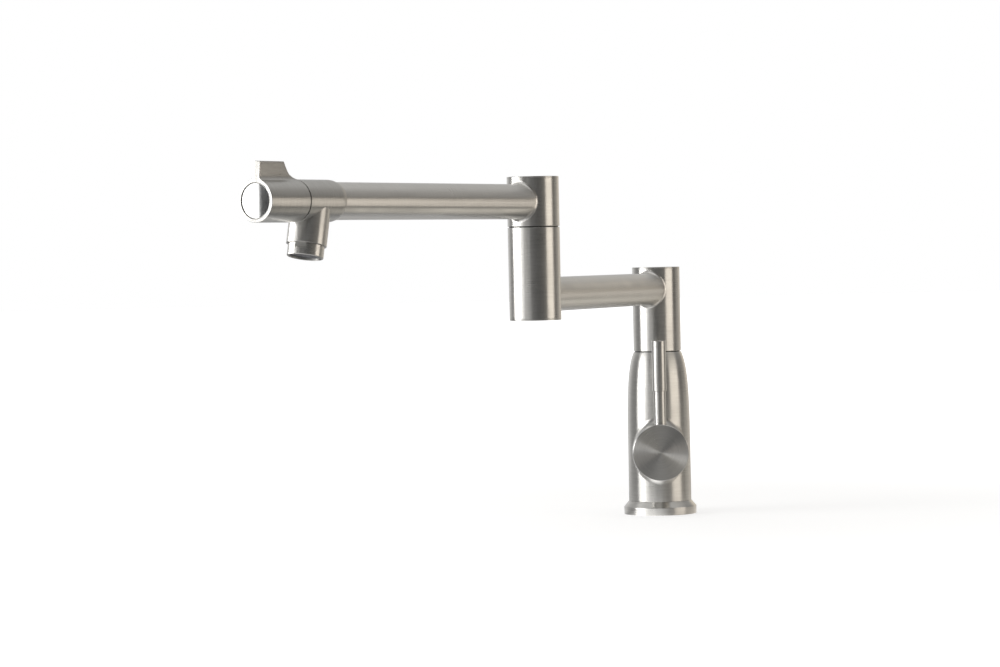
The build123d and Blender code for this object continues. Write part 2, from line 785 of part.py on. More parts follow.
with BuildPart() as outlet_cartridge:
    small_length = small_cartridge_end - small_cartridge_start
    add(disc(along(small_cartridge_start), small_cartridge_radius - fixed_gap, small_length))
    with BuildSketch(along(small_cartridge_start)):
        Circle(small_port_radius)
    extrude(amount=small_length / 2, mode=Mode.SUBTRACT)
    with BuildSketch(down_stub(0)):
        Circle(small_port_radius)
    extrude(amount=small_cartridge_radius * 2, mode=Mode.SUBTRACT)
    with BuildSketch(along(small_collar_start)):
        Circle(small_collar_radius + running_gap)
    extrude(amount=small_collar_end - small_collar_start, mode=Mode.SUBTRACT)
    with BuildSketch(along(small_collar_end)):
        Circle(small_spindle_radius + running_gap)
    extrude(amount=small_cartridge_end - small_collar_end, mode=Mode.SUBTRACT)
pieces["outlet_cartridge"] = outlet_cartridge

with BuildPart() as outlet_cartridge_nut:
    small_nut_bore = small_collar_radius
    nut_length = handle_nut_depth - swivel_gap
    add(disc(along(small_cartridge_end), handle_nut_radius - fixed_gap, nut_length, small_nut_bore))
pieces["outlet_cartridge_nut"] = outlet_cartridge_nut

with BuildPart() as outlet_spindle:
    add(disc(along(small_collar_start), small_collar_radius, small_collar_height))
    small_spindle_length = small_spindle_end - small_collar_start
    add(disc(along(small_collar_start), small_spindle_radius - fixed_gap, small_spindle_length))
    with BuildSketch(along(small_spindle_end)):
        Circle(handle_screw_radius)
    extrude(amount=-handle_screw_length, mode=Mode.SUBTRACT)
pieces["outlet_spindle"] = outlet_spindle

# ---------------------------------------------------------------- outlet handle
# A cylinder the size of the outlet body, with a thumb blade on top that
# runs into it in hollow curves and stands a few degrees off upright. A
# polished disc closes its end and lies a little behind the rim.
handle_length = 40.9
handle_end = handle_start + handle_length
blade_height = 11.7
blade_thickness = 5.1
blade_top_length = 25
blade_foot_length = handle_length - seam * 2
blade_drop_back = 5.2
blade_drop_down = 8.2
blade_sweep_back = 7
blade_sweep_up = 1.4
blade_blend = 3.8
blade_lean = 4.6
rim_round = 0.6
cap_radius = 11.85
cap_groove = 0.25
cap_thickness = 1.2
cap_recess = 0.6
cap_pocket_radius = cap_radius + cap_groove
cap_face = handle_end - cap_recess
cap_seat = cap_face - cap_thickness
cap_stem_radius = 4.2
cap_stem_length = 5
screw_head_radius = 3.5
screw_head_height = 3
screw_socket_radius = 1.4
screw_socket_depth = 1.8
screw_end_gap = 1
pocket_start = small_spindle_end + handle_wall
blade_up = upward * cos(radians(blade_lean)) - stub_side * sin(radians(blade_lean))
blade_section = Plane(origin=along(handle_start).origin, x_dir=blade_up, z_dir=upper_out)
blade_plane = Plane(
    origin=along(handle_end).origin,
    x_dir=-upper_out,
    z_dir=blade_up.cross(upper_out),
)
blade_top = outlet_radius + blade_height

with BuildPart() as thumb_blade:
    with BuildSketch(blade_plane):
        with BuildLine():
            Polyline((blade_foot_length, 0), (0, 0), (0, blade_top), (blade_top_length, blade_top))
            Bezier(
                (blade_top_length, blade_top),
                (blade_top_length + blade_drop_back, blade_top - blade_drop_down),
                (blade_top_length + blade_sweep_back, outlet_radius + blade_sweep_up),
                (blade_foot_length, outlet_radius - seam),
            )
            Line((blade_foot_length, outlet_radius - seam), (blade_foot_length, 0))
        make_face()
    extrude(amount=outlet_radius, both=True)
    with BuildSketch(blade_section):
        Circle(outlet_radius)
        with Locations((blade_top / 2, 0)):
            Rectangle(blade_top, blade_thickness)
        foot_corners = vertices().filter_by(lambda corner: corner.X > 0)
        foot_corners = foot_corners.filter_by(lambda corner: corner.X < blade_top - seam)
        fillet(foot_corners.sort_by(Axis.X)[-2:], radius=blade_blend)
    extrude(amount=handle_length, mode=Mode.INTERSECT)

with BuildPart() as outlet_handle:
    add(disc(along(handle_start), outlet_radius, handle_length))
    add(thumb_blade.part)
    end_face = outlet_handle.faces().sort_by(Axis(tuple(upper_arm_spot), tuple(upper_out)))[-1]
    fillet(end_face.edges(), radius=rim_round)
    # pockets: spindle socket, screw hole, screw pocket and cap seat
    with BuildSketch(along(handle_start)):
        Circle(small_spindle_radius)
    extrude(amount=small_spindle_end - handle_start, mode=Mode.SUBTRACT)
    with BuildSketch(along(small_spindle_end)):
        Circle(handle_screw_radius + fixed_gap)
    extrude(amount=handle_wall, mode=Mode.SUBTRACT)
    with BuildSketch(along(pocket_start)):
        Circle(cap_stem_radius)
    extrude(amount=handle_end - pocket_start, mode=Mode.SUBTRACT)
    with BuildSketch(along(handle_end)):
        Circle(cap_pocket_radius)
    extrude(amount=cap_seat - handle_end, mode=Mode.SUBTRACT)
    chamfer(edges_at(outlet_handle, along(0), handle_start, outlet_radius), length=seam)
pieces["outlet_handle"] = outlet_handle

with BuildPart() as handle_screw:
    screw_start = small_spindle_end - handle_screw_length + screw_end_gap
    screw_length = pocket_start - screw_start
    add(disc(along(screw_start), handle_screw_radius - fixed_gap, screw_length))
    add(disc(along(pocket_start), screw_head_radius, screw_head_height))
    with BuildSketch(along(pocket_start + screw_head_height)):
        RegularPolygon(screw_socket_radius, hexagon_sides, major_radius=False)
    extrude(amount=-screw_socket_depth, mode=Mode.SUBTRACT)
pieces["handle_screw"] = handle_screw

with BuildPart() as handle_cap:
    add(disc(along(cap_seat), cap_radius, cap_thickness))
    add(disc(along(cap_seat), cap_stem_radius - fixed_gap, -cap_stem_length))
    fillet(edges_at(handle_cap, along(0), cap_face, cap_radius), radius=seam)
pieces["handle_cap"] = handle_cap

# ---------------------------------------------------------------- aerator
# A turned housing screws up into the stub. It holds the flow insert, and a
# rubber washer seals it.
aerator_radius = 12.2
aerator_height = 8.1
aerator_flat_width = 7.7
aerator_flat_height = 3.6
aerator_flat_angle = 70
mouth_radius = 10.5
mouth_depth = 1.6
washer_height = 1
washer_bore = 9
aerator_top = stub_length - thread_depth + washer_height
aerator_bottom = stub_length + aerator_height
flat_reach = sqrt(aerator_radius**2 - (aerator_flat_width / 2) ** 2)

with BuildPart() as aerator_washer:
    add(disc(down_stub(aerator_top - washer_height), thread_radius - fixed_gap, washer_height, washer_bore))
pieces["aerator_washer"] = aerator_washer

with BuildPart() as aerator_housing:
    add(disc(down_stub(aerator_top), thread_radius - fixed_gap, stub_length - aerator_top))
    add(disc(down_stub(stub_length), aerator_radius, aerator_height))
    chamfer(edges_at(aerator_housing, down_stub(0), aerator_bottom, aerator_radius), length=seam * 2)
    chamfer(edges_at(aerator_housing, down_stub(0), stub_length, aerator_radius), length=seam)
    with BuildSketch(down_stub(aerator_top)):
        Circle(mouth_radius)
    extrude(amount=aerator_bottom - aerator_top, mode=Mode.SUBTRACT)
    with BuildSketch(down_stub(stub_length)):
        with PolarLocations(flat_reach + aerator_radius, 2, start_angle=aerator_flat_angle):
            Rectangle(aerator_radius * 2, aerator_radius * 3)
    extrude(amount=aerator_flat_height, mode=Mode.SUBTRACT)
pieces["aerator_housing"] = aerator_housing

insert_port_radius = 1.5
insert_port_reach = 6
insert_port_count = 6
insert_floor = 2
with BuildPart() as aerator_insert:
    insert_length = aerator_bottom - mouth_depth - aerator_top
    add(disc(down_stub(aerator_top), mouth_radius - fixed_gap, insert_length))
    with BuildSketch(down_stub(aerator_top)):
        with PolarLocations(insert_port_reach, insert_port_count):
            Circle(insert_port_radius)
    extrude(amount=insert_length - insert_floor, mode=Mode.SUBTRACT)
pieces["aerator_insert"] = aerator_insert

# ---------------------------------------------------------------- export
for name, piece in pieces.items():
    piece.part.label = name
    export_step(piece.part, "parts/" + name + ".step")
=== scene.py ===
import json
from math import comb, cos, pi, radians, sin

import bmesh
import bpy
import numpy as np
from mathutils import Matrix, Vector


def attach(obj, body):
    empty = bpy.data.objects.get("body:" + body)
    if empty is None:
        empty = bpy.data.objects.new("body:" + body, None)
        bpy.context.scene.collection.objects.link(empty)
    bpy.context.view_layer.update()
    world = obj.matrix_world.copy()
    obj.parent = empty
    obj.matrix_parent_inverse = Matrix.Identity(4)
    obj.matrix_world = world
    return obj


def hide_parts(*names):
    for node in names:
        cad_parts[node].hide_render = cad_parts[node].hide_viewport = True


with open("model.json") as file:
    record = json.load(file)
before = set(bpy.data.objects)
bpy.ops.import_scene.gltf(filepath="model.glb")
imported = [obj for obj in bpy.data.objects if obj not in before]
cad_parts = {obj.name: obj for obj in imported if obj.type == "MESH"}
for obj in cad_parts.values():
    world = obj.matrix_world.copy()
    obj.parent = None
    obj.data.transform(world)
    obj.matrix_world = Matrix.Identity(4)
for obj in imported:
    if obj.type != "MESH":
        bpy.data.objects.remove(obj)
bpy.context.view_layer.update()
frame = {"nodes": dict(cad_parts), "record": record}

# ---------------------------------------------------------------- camera
# The camera stands in front of the tap and a little above its arms. Its
# place, lens and small roll come from fitting the outlines in the photograph.
lens_pixels, photo_width_pixels, sensor_width = 3200, 1000, 36
camera_place = Vector((-0.0696, -2.5754, 0.2095))
camera_yaw, camera_pitch, camera_roll = -0.022, 0.0242, 0.021
forward = Vector((
    sin(camera_yaw) * cos(camera_pitch),
    cos(camera_yaw) * cos(camera_pitch),
    -sin(camera_pitch),
))
flat_right = forward.cross(Vector((0, 0, 1))).normalized()
flat_down = forward.cross(flat_right)
camera_right = flat_right * cos(camera_roll) + flat_down * sin(camera_roll)
camera_down = flat_down * cos(camera_roll) - flat_right * sin(camera_roll)
turn = Matrix((camera_right, -camera_down, -forward)).transposed().to_4x4()
camera_data = bpy.data.cameras.new("camera")
camera_data.sensor_width = sensor_width
camera_data.lens = lens_pixels / photo_width_pixels * sensor_width
camera_data.clip_end = 100
camera = bpy.data.objects.new("camera", camera_data)
camera.matrix_world = Matrix.Translation(camera_place) @ turn
bpy.context.scene.collection.objects.link(camera)
bpy.context.scene.camera = camera
bpy.context.scene.view_settings.view_transform = "Standard"


# ---------------------------------------------------------------- brushed steel
# The tap is stainless steel, brushed round each tube and turned part. Fine
# lines run round every piece, with faint smudges over them.
def node(tree, kind, *feeds, **values):
    """A shader node of one kind.

    Feeds fill its sockets in order. Values set its properties, and the sockets
    of that name. An output among them is linked, anything else is a plain value.
    """
    made = tree.nodes.new(kind)
    sockets = list(enumerate(feeds))
    for key, value in values.items():
        if hasattr(made, key):
            setattr(made, key, value)
        else:
            sockets.append((key.replace("_", " "), value))
    for key, value in sockets:
        if isinstance(value, bpy.types.NodeSocket):
            tree.links.new(value, made.inputs[key])
        else:
            made.inputs[key].default_value = value
    return made


def maths(tree, operation, *terms):
    """One arithmetic step on outputs and numbers."""
    return node(tree, "ShaderNodeMath", *terms, operation=operation).outputs[0]


def mixed(tree, share, first, second, blend_type="MIX"):
    """A colour between two by a share."""
    made = node(
        tree, "ShaderNodeMix", data_type="RGBA", blend_type=blend_type,
        Factor=share, A=first, B=second,
    )
    return made.outputs["Result"]


def ranged(tree, noise, low, high):
    """A noise, which keeps between a quarter and three quarters, made to run from low to high."""
    made = node(
        tree, "ShaderNodeMapRange", Value=noise,
        From_Min=0.25, From_Max=0.75, To_Min=low, To_Max=high,
    )
    return made.outputs["Result"]


def shader_group(name, inputs, outputs):
    """A shader group with named sockets: its tree, what comes in, and the node it goes out by."""
    tree = bpy.data.node_groups.new(name, "ShaderNodeTree")
    for side, sockets in (("INPUT", inputs), ("OUTPUT", outputs)):
        for socket, kind in sockets.items():
            tree.interface.new_socket(socket, in_out=side, socket_type="NodeSocket" + kind)
    return tree, node(tree, "NodeGroupInput").outputs, node(tree, "NodeGroupOutput")


def brush_grain_group():
    """Lines that run round a piece: noise read from its map, close along and long around.

    The way round becomes a circle of the streak's size, so that the lines meet.
    """
    tree, group_in, group_out = shader_group(
        "brush_grain",
        {"Streak": "Float", "Lines": "Float", "Broad lines": "Float"},
        {"Fine": "Float", "Broad": "Float"},
    )
    chart = node(tree, "ShaderNodeUVMap", uv_map="grain").outputs[0]
    across, along = node(tree, "ShaderNodeSeparateXYZ", chart).outputs[:2]
    angle = maths(tree, "MULTIPLY", across, 2 * pi)
    circle = [
        maths(tree, "MULTIPLY", maths(tree, wave, angle), group_in["Streak"])
        for wave in ("COSINE", "SINE")
    ]
    for source, target in (("Lines", "Fine"), ("Broad lines", "Broad")):
        run = maths(tree, "MULTIPLY", along, group_in[source])
        spot = node(tree, "ShaderNodeCombineXYZ", *circle, run).outputs[0]
        noise = node(tree, "ShaderNodeTexNoise", Vector=spot, Scale=1.0, Detail=2.0)
        tree.links.new(noise.outputs[0], group_out.inputs[target])
    return tree


def smudge_group():
    """Soft patches of wear and wiping, from two sizes of noise over the piece."""
    tree, group_in, group_out = shader_group(
        "wiping_smudge", {"Size": "Float"}, {"Patch": "Float", "Speck": "Float"}
    )
    spot = node(tree, "ShaderNodeTexCoord").outputs["Object"]
    for target, finer, detail in (("Patch", 1.0, 3.0), ("Speck", 40.0, 2.0)):
        size = maths(tree, "MULTIPLY", group_in["Size"], finer)
        noise = node(tree, "ShaderNodeTexNoise", Vector=spot, Scale=size, Detail=detail)
        tree.links.new(noise.outputs[0], group_out.inputs[target])
    return tree


grain_tree = brush_grain_group()
smudge_tree = smudge_group()
smudge_size, broad_lines = 40.0, 700.0
metal_relief, soft_relief = 0.00003, 0.00005


def new_finish(name):
    """A material made of nodes: itself, its tree and its shader."""
    made = bpy.data.materials.new(name)
    made.use_nodes = True
    return made, made.node_tree, made.node_tree.nodes["Principled BSDF"]


def dress(tree, shader, dark, light, tone, gloss, height, bump, relief):
    """Fill a shader: a colour from dark to light by a tone, its gloss, and a bump from a height."""
    colour = mixed(tree, tone, (*dark, 1), (*light, 1))
    bumps = node(tree, "ShaderNodeBump", Strength=bump, Distance=relief, Height=height)
    tree.links.new(colour, shader.inputs["Base Color"])
    tree.links.new(gloss, shader.inputs["Roughness"])
    tree.links.new(bumps.outputs[0], shader.inputs["Normal"])


def metal(
    name, dark, light, rough, rough_swing, bump,
    stretch=0.0, lines=4000.0, streak=2.0, patch=0.05,
):
    """A bare metal with lines round the piece in its colour, gloss and relief.

    Where it has a stretch, its highlights spread across the lines.
    """
    made, tree, shader = new_finish(name)
    shader.inputs["Metallic"].default_value = 1.0
    grain = node(
        tree, "ShaderNodeGroup", node_tree=grain_tree,
        Lines=lines, Broad_lines=broad_lines, Streak=streak,
    ).outputs
    smudge = node(tree, "ShaderNodeGroup", node_tree=smudge_tree, Size=smudge_size).outputs
    tone = maths(
        tree, "ADD",
        ranged(tree, grain["Fine"], 0.0, 0.5),
        ranged(tree, grain["Broad"], 0.0, 0.5),
    )
    gloss = maths(
        tree, "ADD",
        ranged(tree, grain["Fine"], rough - rough_swing, rough + rough_swing),
        ranged(tree, smudge["Patch"], -patch, patch),
    )
    height = maths(tree, "ADD", grain["Fine"], ranged(tree, smudge["Speck"], 0.0, 0.15))
    dress(tree, shader, dark, light, tone, gloss, height, bump, metal_relief)
    if stretch:
        shader.inputs["Anisotropic"].default_value = stretch
        shader.inputs["Anisotropic Rotation"].default_value = 0.25
        tangent = node(tree, "ShaderNodeTangent", direction_type="UV_MAP", uv_map="grain")
        tree.links.new(tangent.outputs[0], shader.inputs["Tangent"])
    return made


brushed_steel = metal(
    "brushed_steel",
    dark=(0.49, 0.48, 0.455),
    light=(0.61, 0.60, 0.575),
    rough=0.33,
    rough_swing=0.05,
    bump=0.25,
    stretch=0.85,
)


# ---------------------------------------------------------------- base flange
# A turned stainless foot with an upright side and a straight bevel. It
# covers the deck hole, and the body stands on it.
mm = 0.001
around_steps = 128
up = np.array((0.0, 0.0, 1.0))
deck_centre = np.zeros(3)


def arc_between(first, last, sweep, share):
    """An arc from one spoke to another of the same length.

    At each share of the sweep they weigh as the sines of what is left and of
    what is done, over the sine of the whole.
    """
    return (np.sin((1 - share) * sweep) * first + np.sin(share * sweep) * last) / np.sin(sweep)


def rounded(corners, arc_steps=4, hold=0.35):
    """Points of a closed outline: each corner (radius, height, round) becomes an arc.

    The arc touches both runs, its centre lies on the corner's halving line, and
    one extra point on each run, a little outside the arc, keeps the run flat.
    """
    spots = np.array([corner[:2] for corner in corners], float)
    rounds = [corner[2] for corner in corners]
    share = np.linspace(0, 1, arc_steps + 1)[:, None]
    out = []
    for here, size in enumerate(rounds):
        spot = spots[here]
        if size == 0:
            out.append(spot[None])
            continue
        before = spots[here - 1] - spot
        after = spots[(here + 1) % len(spots)] - spot
        before, after = before / np.linalg.norm(before), after / np.linalg.norm(after)
        half = np.arccos(np.clip(before @ after, -1, 1)) / 2
        middle = (before + after) / np.linalg.norm(before + after)
        centre = spot + middle * size / np.sin(half)
        start = before * size / np.tan(half) + spot
        end = after * size / np.tan(half) + spot
        out.append((start + before * size * hold)[None])
        out.append(centre + arc_between(start - centre, end - centre, pi - 2 * half, share))
        out.append((end + after * size * hold)[None])
    return np.concatenate(out)


def axes_for(axis):
    """Two directions square to an axis and to each other."""
    axis = np.asarray(axis, float)
    other = np.array((1.0, 0, 0)) if abs(axis[0]) < 0.5 else np.array((0, 0, 1.0))
    first = np.cross(other, axis)
    first /= np.linalg.norm(first)
    return first, np.cross(axis, first)


def run_along(outline):
    """How far each point of an outline lies from its start, measured along it."""
    steps = np.linalg.norm(np.diff(outline, axis=0), axis=1)
    return np.concatenate([[0], np.cumsum(steps)])


def turned(outline, centre, axis, steps=around_steps):
    """A turned surface: each outline point (radius, height) goes round the axis.

    Place = centre + height * axis + radius * (cos angle * first + sin angle * second).
    The map runs round the piece and along the outline's length.
    """
    axis = np.asarray(axis, float)
    first, second = axes_for(axis)
    angle = np.linspace(0, 2 * pi, steps + 1)
    ring = np.cos(angle)[:, None] * first + np.sin(angle)[:, None] * second
    outline = np.concatenate([outline, outline[:1]]) * mm
    places = centre + outline[:, 1, None, None] * axis + outline[:, 0, None, None] * ring[None]
    across, along = np.meshgrid(angle / (2 * pi), run_along(outline))
    return places, np.stack([across, along], -1)


def piece(name, sheets, material, body, stands_for, crease=35):
    """A mesh from grids of places: four-sided faces, merged seams, faces outwards.

    Each sheet is a grid of places with its map. Each four neighbours make a face,
    and the grids of all sheets become one object on its body.
    """
    places, corners, maps, offset = [], [], [], 0
    for grid, chart in sheets:
        rows, columns = grid.shape[:2]
        index = np.arange(rows * columns).reshape(rows, columns) + offset
        quad = np.stack([index[:-1, :-1], index[:-1, 1:], index[1:, 1:], index[1:, :-1]], -1)
        spots = np.stack([chart[:-1, :-1], chart[:-1, 1:], chart[1:, 1:], chart[1:, :-1]], -2)
        places.append(grid.reshape(-1, 3))
        corners.append(quad.reshape(-1, 4))
        maps.append(spots.reshape(-1, 2))
        offset += rows * columns
    places, corners, maps = (np.concatenate(part) for part in (places, corners, maps))
    mesh = bpy.data.meshes.new(name)
    mesh.vertices.add(len(places))
    mesh.vertices.foreach_set("co", places.astype(np.float32).ravel())
    mesh.loops.add(corners.size)
    mesh.loops.foreach_set("vertex_index", corners.astype(np.int32).ravel())
    mesh.polygons.add(len(corners))
    mesh.polygons.foreach_set("loop_start", np.arange(0, corners.size, 4, dtype=np.int32))
    mesh.update(calc_edges=True)
    chart = mesh.uv_layers.new(name="grain")
    chart.data.foreach_set("uv", maps.astype(np.float32).ravel())
    shape = bmesh.new()
    shape.from_mesh(mesh)
    bmesh.ops.remove_doubles(shape, verts=shape.verts, dist=2e-7)
    bmesh.ops.dissolve_degenerate(shape, edges=shape.edges, dist=1e-8)
    bmesh.ops.recalc_face_normals(shape, faces=shape.faces)
    shape.to_mesh(mesh)
    shape.free()
    mesh.polygons.foreach_set("use_smooth", np.ones(len(mesh.polygons), bool))
    mesh.set_sharp_from_angle(angle=radians(crease))
    mesh.materials.append(material)
    made = bpy.data.objects.new(name, mesh)
    bpy.context.scene.collection.objects.link(made)
    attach(made, body)
    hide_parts(*stands_for)


flange_radius, flange_side, bevel_radius, flange_top = 29.0, 6.0, 25.15, 10.5
flange_bore, gasket_seat_radius, gasket_seat = 20.02, 26.0, 2.0
flange_outline = rounded((
    (flange_bore, gasket_seat, 0),
    (gasket_seat_radius, gasket_seat, 0),
    (gasket_seat_radius, 0.0, 0),
    (flange_radius, 0.0, 0.25),
    (flange_radius, flange_side, 0.7),
    (bevel_radius, flange_top, 0.25),
    (flange_bore, flange_top, 0),
))
piece(
    "foot_flange",
    [turned(flange_outline, deck_centre, up)],
    brushed_steel,
    "base",
    ["base_flange"],
)

# ---------------------------------------------------------------- valve body
# A turned stainless barrel whose shoulder narrows to the column above. A
# round boss on its front is welded on and ground to a hollow blend.
body_radius, body_top, straight_top = 25.0, 130.0, 57.5
column_radius, shoulder_fullness, neck_flare, neck_length = 19.0, 42, 4.9, 11
barrel_bore, neck_bore = 15, 14


def pulled_curve(pulls, steps):
    """A curve from the first pull to the last, drawn towards those between them.

    Along a share from 0 to 1 each pull weighs as its term of the product
    (1 - share) + share, raised to one less than the number of pulls.
    """
    share = np.linspace(0, 1, steps)[:, None]
    last = len(pulls) - 1
    return sum(
        comb(last, order) * (1 - share) ** (last - order) * share**order * np.array(pull)
        for order, pull in enumerate(pulls)
    )


shoulder = pulled_curve((
    (body_radius, straight_top),
    (body_radius, straight_top + shoulder_fullness),
    (column_radius + neck_flare, body_top - neck_length),
    (column_radius, body_top),
), 60)
barrel_foot = rounded((
    (barrel_bore, flange_top, 0),
    (body_radius, flange_top, 0.3),
    (body_radius, 30, 0),
))
barrel_rim = rounded((
    (column_radius + 0.1, body_top - 0.4, 0),
    (column_radius, body_top, 0.15),
    (neck_bore, body_top, 0),
))
barrel_outline = np.concatenate([
    barrel_foot[:-1],
    [(body_radius, height) for height in (25, 35, 45, 52)],
    shoulder[:-1],
    barrel_rim[1:],
])


def saddle_blend(tube_radius, column_size, blend, angle, steps=10):
    """The hollow blend between a level tube and an upright column.

    A ball rolls in the corner: its centre is one ball's radius outside both, and
    the surface is the arc between the two points where it touches them. Returned
    as (out along the tube, sideways, up) for each angle round the tube, with a
    skirt row first that dips into the column.
    """
    side, rise = np.cos(angle), np.sin(angle)
    level = np.zeros_like(side)
    centre_side = (tube_radius + blend) * side
    centre_rise = (tube_radius + blend) * rise
    centre_out = np.sqrt((column_size + blend) ** 2 - centre_side**2)
    centre = np.stack([centre_out, centre_side, centre_rise], -1)
    to_tube = -np.stack([level, side, rise], -1)
    to_column = -np.stack([centre_out, centre_side, level], -1)
    to_column /= np.linalg.norm(to_column, axis=-1, keepdims=True)
    opening = np.arccos(np.clip((to_tube * to_column).sum(-1), -1, 1))[None, :, None]
    share = np.linspace(0, 1, steps)[:, None, None]
    skirt = centre + to_column * (blend + 0.25)
    arc = arc_between(to_column, to_tube, opening, share)
    return np.concatenate([skirt[None], centre + arc * blend])


hub_height, boss_radius, boss_front, boss_blend = 51.5, 21.4, 32.0, 6.0
boss_root, boss_bore = 24, 8.0
boss_angle = np.linspace(0, 2 * pi, around_steps + 1)
boss_rise = hub_height + (boss_radius + boss_blend) * np.sin(boss_angle)
barrel_size = np.interp(boss_rise, shoulder[:, 1], shoulder[:, 0], left=body_radius)
boss_foot = saddle_blend(boss_radius, barrel_size, boss_blend, boss_angle, 16)
boss_rim = rounded((
    (boss_radius, boss_root, 0),
    (boss_radius, boss_front, 0.3),
    (boss_bore, boss_front, 0),
))[1:]
rim_ring = np.stack([
    np.repeat(boss_rim[:, 1, None], len(boss_angle), 1),
    boss_rim[:, 0, None] * np.cos(boss_angle),
    boss_rim[:, 0, None] * np.sin(boss_angle),
], -1)
buried = boss_foot[:1] * (0.5, 0.6, 0.6)
boss_local = np.concatenate([
    buried * (1, 0.2, 0.2),
    buried,
    boss_foot,
    rim_ring,
    rim_ring[-1:] * (1, 0, 0),
])
front_way = np.array((0.0, -1.0, 0.0))
side_way = np.array((1.0, 0.0, 0.0))


def placed(local, out_way, sideways, centre):
    """Local (out, sideways, up) millimetres as places in the row's frame."""
    return centre + mm * (
        local[..., 0, None] * out_way + local[..., 1, None] * sideways + local[..., 2, None] * up
    )


def mapped(places):
    """A map that runs round a grid's rows and along its columns, in metres."""
    step = np.linalg.norm(np.diff(places, axis=0), axis=-1)
    along = np.concatenate([np.zeros((1, places.shape[1])), np.cumsum(step, 0)])
    across = np.broadcast_to(np.linspace(0, 1, places.shape[1]), along.shape)
    return np.stack([across, along], -1)


hub_centre = up * hub_height * mm
boss_places = placed(boss_local, front_way, side_way, hub_centre)
piece(
    "valve_barrel",
    [turned(barrel_outline, deck_centre, up), (boss_places, mapped(boss_places))],
    brushed_steel,
    "base",
    ["valve_body"],
)

# ---------------------------------------------------------------- lever hub
# A disc of stainless steel turned and spun on its face. It carries the rod
# and turns on the cartridge's spindle; a grub screw under it holds it.
spun_steel = metal(
    "spun_steel",
    dark=(0.52, 0.515, 0.50),
    light=(0.645, 0.635, 0.615),
    rough=0.335,
    rough_swing=0.04,
    bump=0.35,
    stretch=0.94,
    lines=5000.0,
    streak=1.0,
)
hub_back, hub_front, hub_radius = 32.8, 50.8, 22.2
hub_middle = (hub_back + hub_front) / 2
hub_bore, hub_bore_depth = 5.0, 6
hub_grub_radius, hub_grub_floor = 2.02, 11.8
hub_outline = rounded((
    (hub_bore, hub_back, 0),
    (hub_radius, hub_back, 0.4),
    (hub_radius, hub_front, 0.55),
    (0.0, hub_front, 0),
    (0.0, hub_front - hub_bore_depth, 0),
    (hub_bore, hub_front - hub_bore_depth, 0),
))


def drilled(outline, centre, axis, hole_way, hole_height, hole_radius, floor_radius):
    """A turned surface with one blind round hole in its outer wall.

    Rows and columns crowd round the hole. In a square about it each place is
    pulled from its square ring to the circle of the same size, the pull fades
    to the square's edge, and places within the hole sink to the floor radius.
    """
    square, fade, hair, columns = 1.8, 0.55, 0.01, 116
    run = np.concatenate([np.linspace(0, 0.98, 9), [1.0, 1.25, 1.5, square]]) * hole_radius
    run = np.concatenate([-run[:0:-1], run])
    half = hole_radius * square
    size = outline[:, 0].max()
    wall_start = np.flatnonzero(
        (outline[:, 0] > size - hair)
        & (outline[:, 1] < hole_height - half)
        & (np.roll(outline[:, 1], -1) > hole_height + half)
    )[0]
    wall = np.stack([np.full_like(run, size), hole_height + run], -1)
    outline = np.concatenate([outline[: wall_start + 1], wall, outline[wall_start + 1 :]])
    outline = np.concatenate([outline, outline[:1]]) * mm
    axis, first = np.asarray(axis, float), np.asarray(hole_way, float)
    second = np.cross(axis, first)
    turn_half = half / size
    rest = np.linspace(turn_half, 2 * pi - turn_half, columns)
    angle = np.concatenate([run / size, rest[1:]])
    angle, height = np.meshgrid(angle, outline[:, 1])
    reach = np.broadcast_to(outline[:, :1], angle.shape).copy()
    side = ((angle + pi) % (2 * pi) - pi) * size * mm
    rise = height - hole_height * mm
    ring = np.maximum(np.abs(side), np.abs(rise)) / (hole_radius * mm)
    near = (ring < square + hair) & (reach > (size - hair) * mm)
    pull = np.clip((square - ring) / fade, 0, 1)
    far = np.maximum(np.hypot(side, rise), 1e-9) / (hole_radius * mm)
    scale = np.where(near, pull * ring / far + 1 - pull, 1.0)
    angle = angle + side * (scale - 1) / (size * mm)
    height = height + np.where(near, rise * (scale - 1), 0)
    reach = np.where(near & (ring < 1 - hair), floor_radius * mm, reach)
    places = (
        centre
        + height[..., None] * axis
        + (reach * np.cos(angle))[..., None] * first
        + (reach * np.sin(angle))[..., None] * second
    )
    along = np.broadcast_to(run_along(outline)[:, None], angle.shape)
    return places, np.stack([angle / (2 * pi), along], -1)


piece(
    "lever_disc",
    [drilled(hub_outline, hub_centre, front_way, -up, hub_middle, hub_grub_radius, hub_grub_floor)],
    spun_steel,
    "lever",
    ["lever_hub"],
)

# ---------------------------------------------------------------- lever rod
# Two turned rods in line: a slim stem screwed into the hub's rim, and a
# thicker grip screwed on its top.
rod_centre = front_way * hub_middle * mm
rod_steps = 64
stem_radius, stem_foot, spigot_radius, spigot_top = 4.85, 70.0, 2.98, 110.0
grip_radius, grip_bottom, grip_top, grip_bore, bore_top = 5.6, 100.0, 140.0, 3.0, 111.0
stem_top = grip_bottom - 0.05
stem_outline = (
    (0.0, stem_foot, 0),
    (stem_radius, stem_foot, 0),
    (stem_radius, stem_top, 0.25),
    (spigot_radius, stem_top, 0),
    (spigot_radius, spigot_top, 0.2),
    (0.0, spigot_top, 0),
)
grip_outline = (
    (grip_bore, grip_bottom, 0),
    (grip_radius, grip_bottom, 0.3),
    (grip_radius, grip_top, 0.6),
    (0.0, grip_top, 0),
    (0.0, bore_top, 0),
    (grip_bore, bore_top, 0),
)
for name, corners, node_name in (
    ("lever_rod_stem", stem_outline, "lever_stem"),
    ("lever_rod_grip", grip_outline, "lever_grip"),
):
    rod = turned(rounded(corners), rod_centre, up, rod_steps)
    piece(name, [rod], brushed_steel, "lever", [node_name])


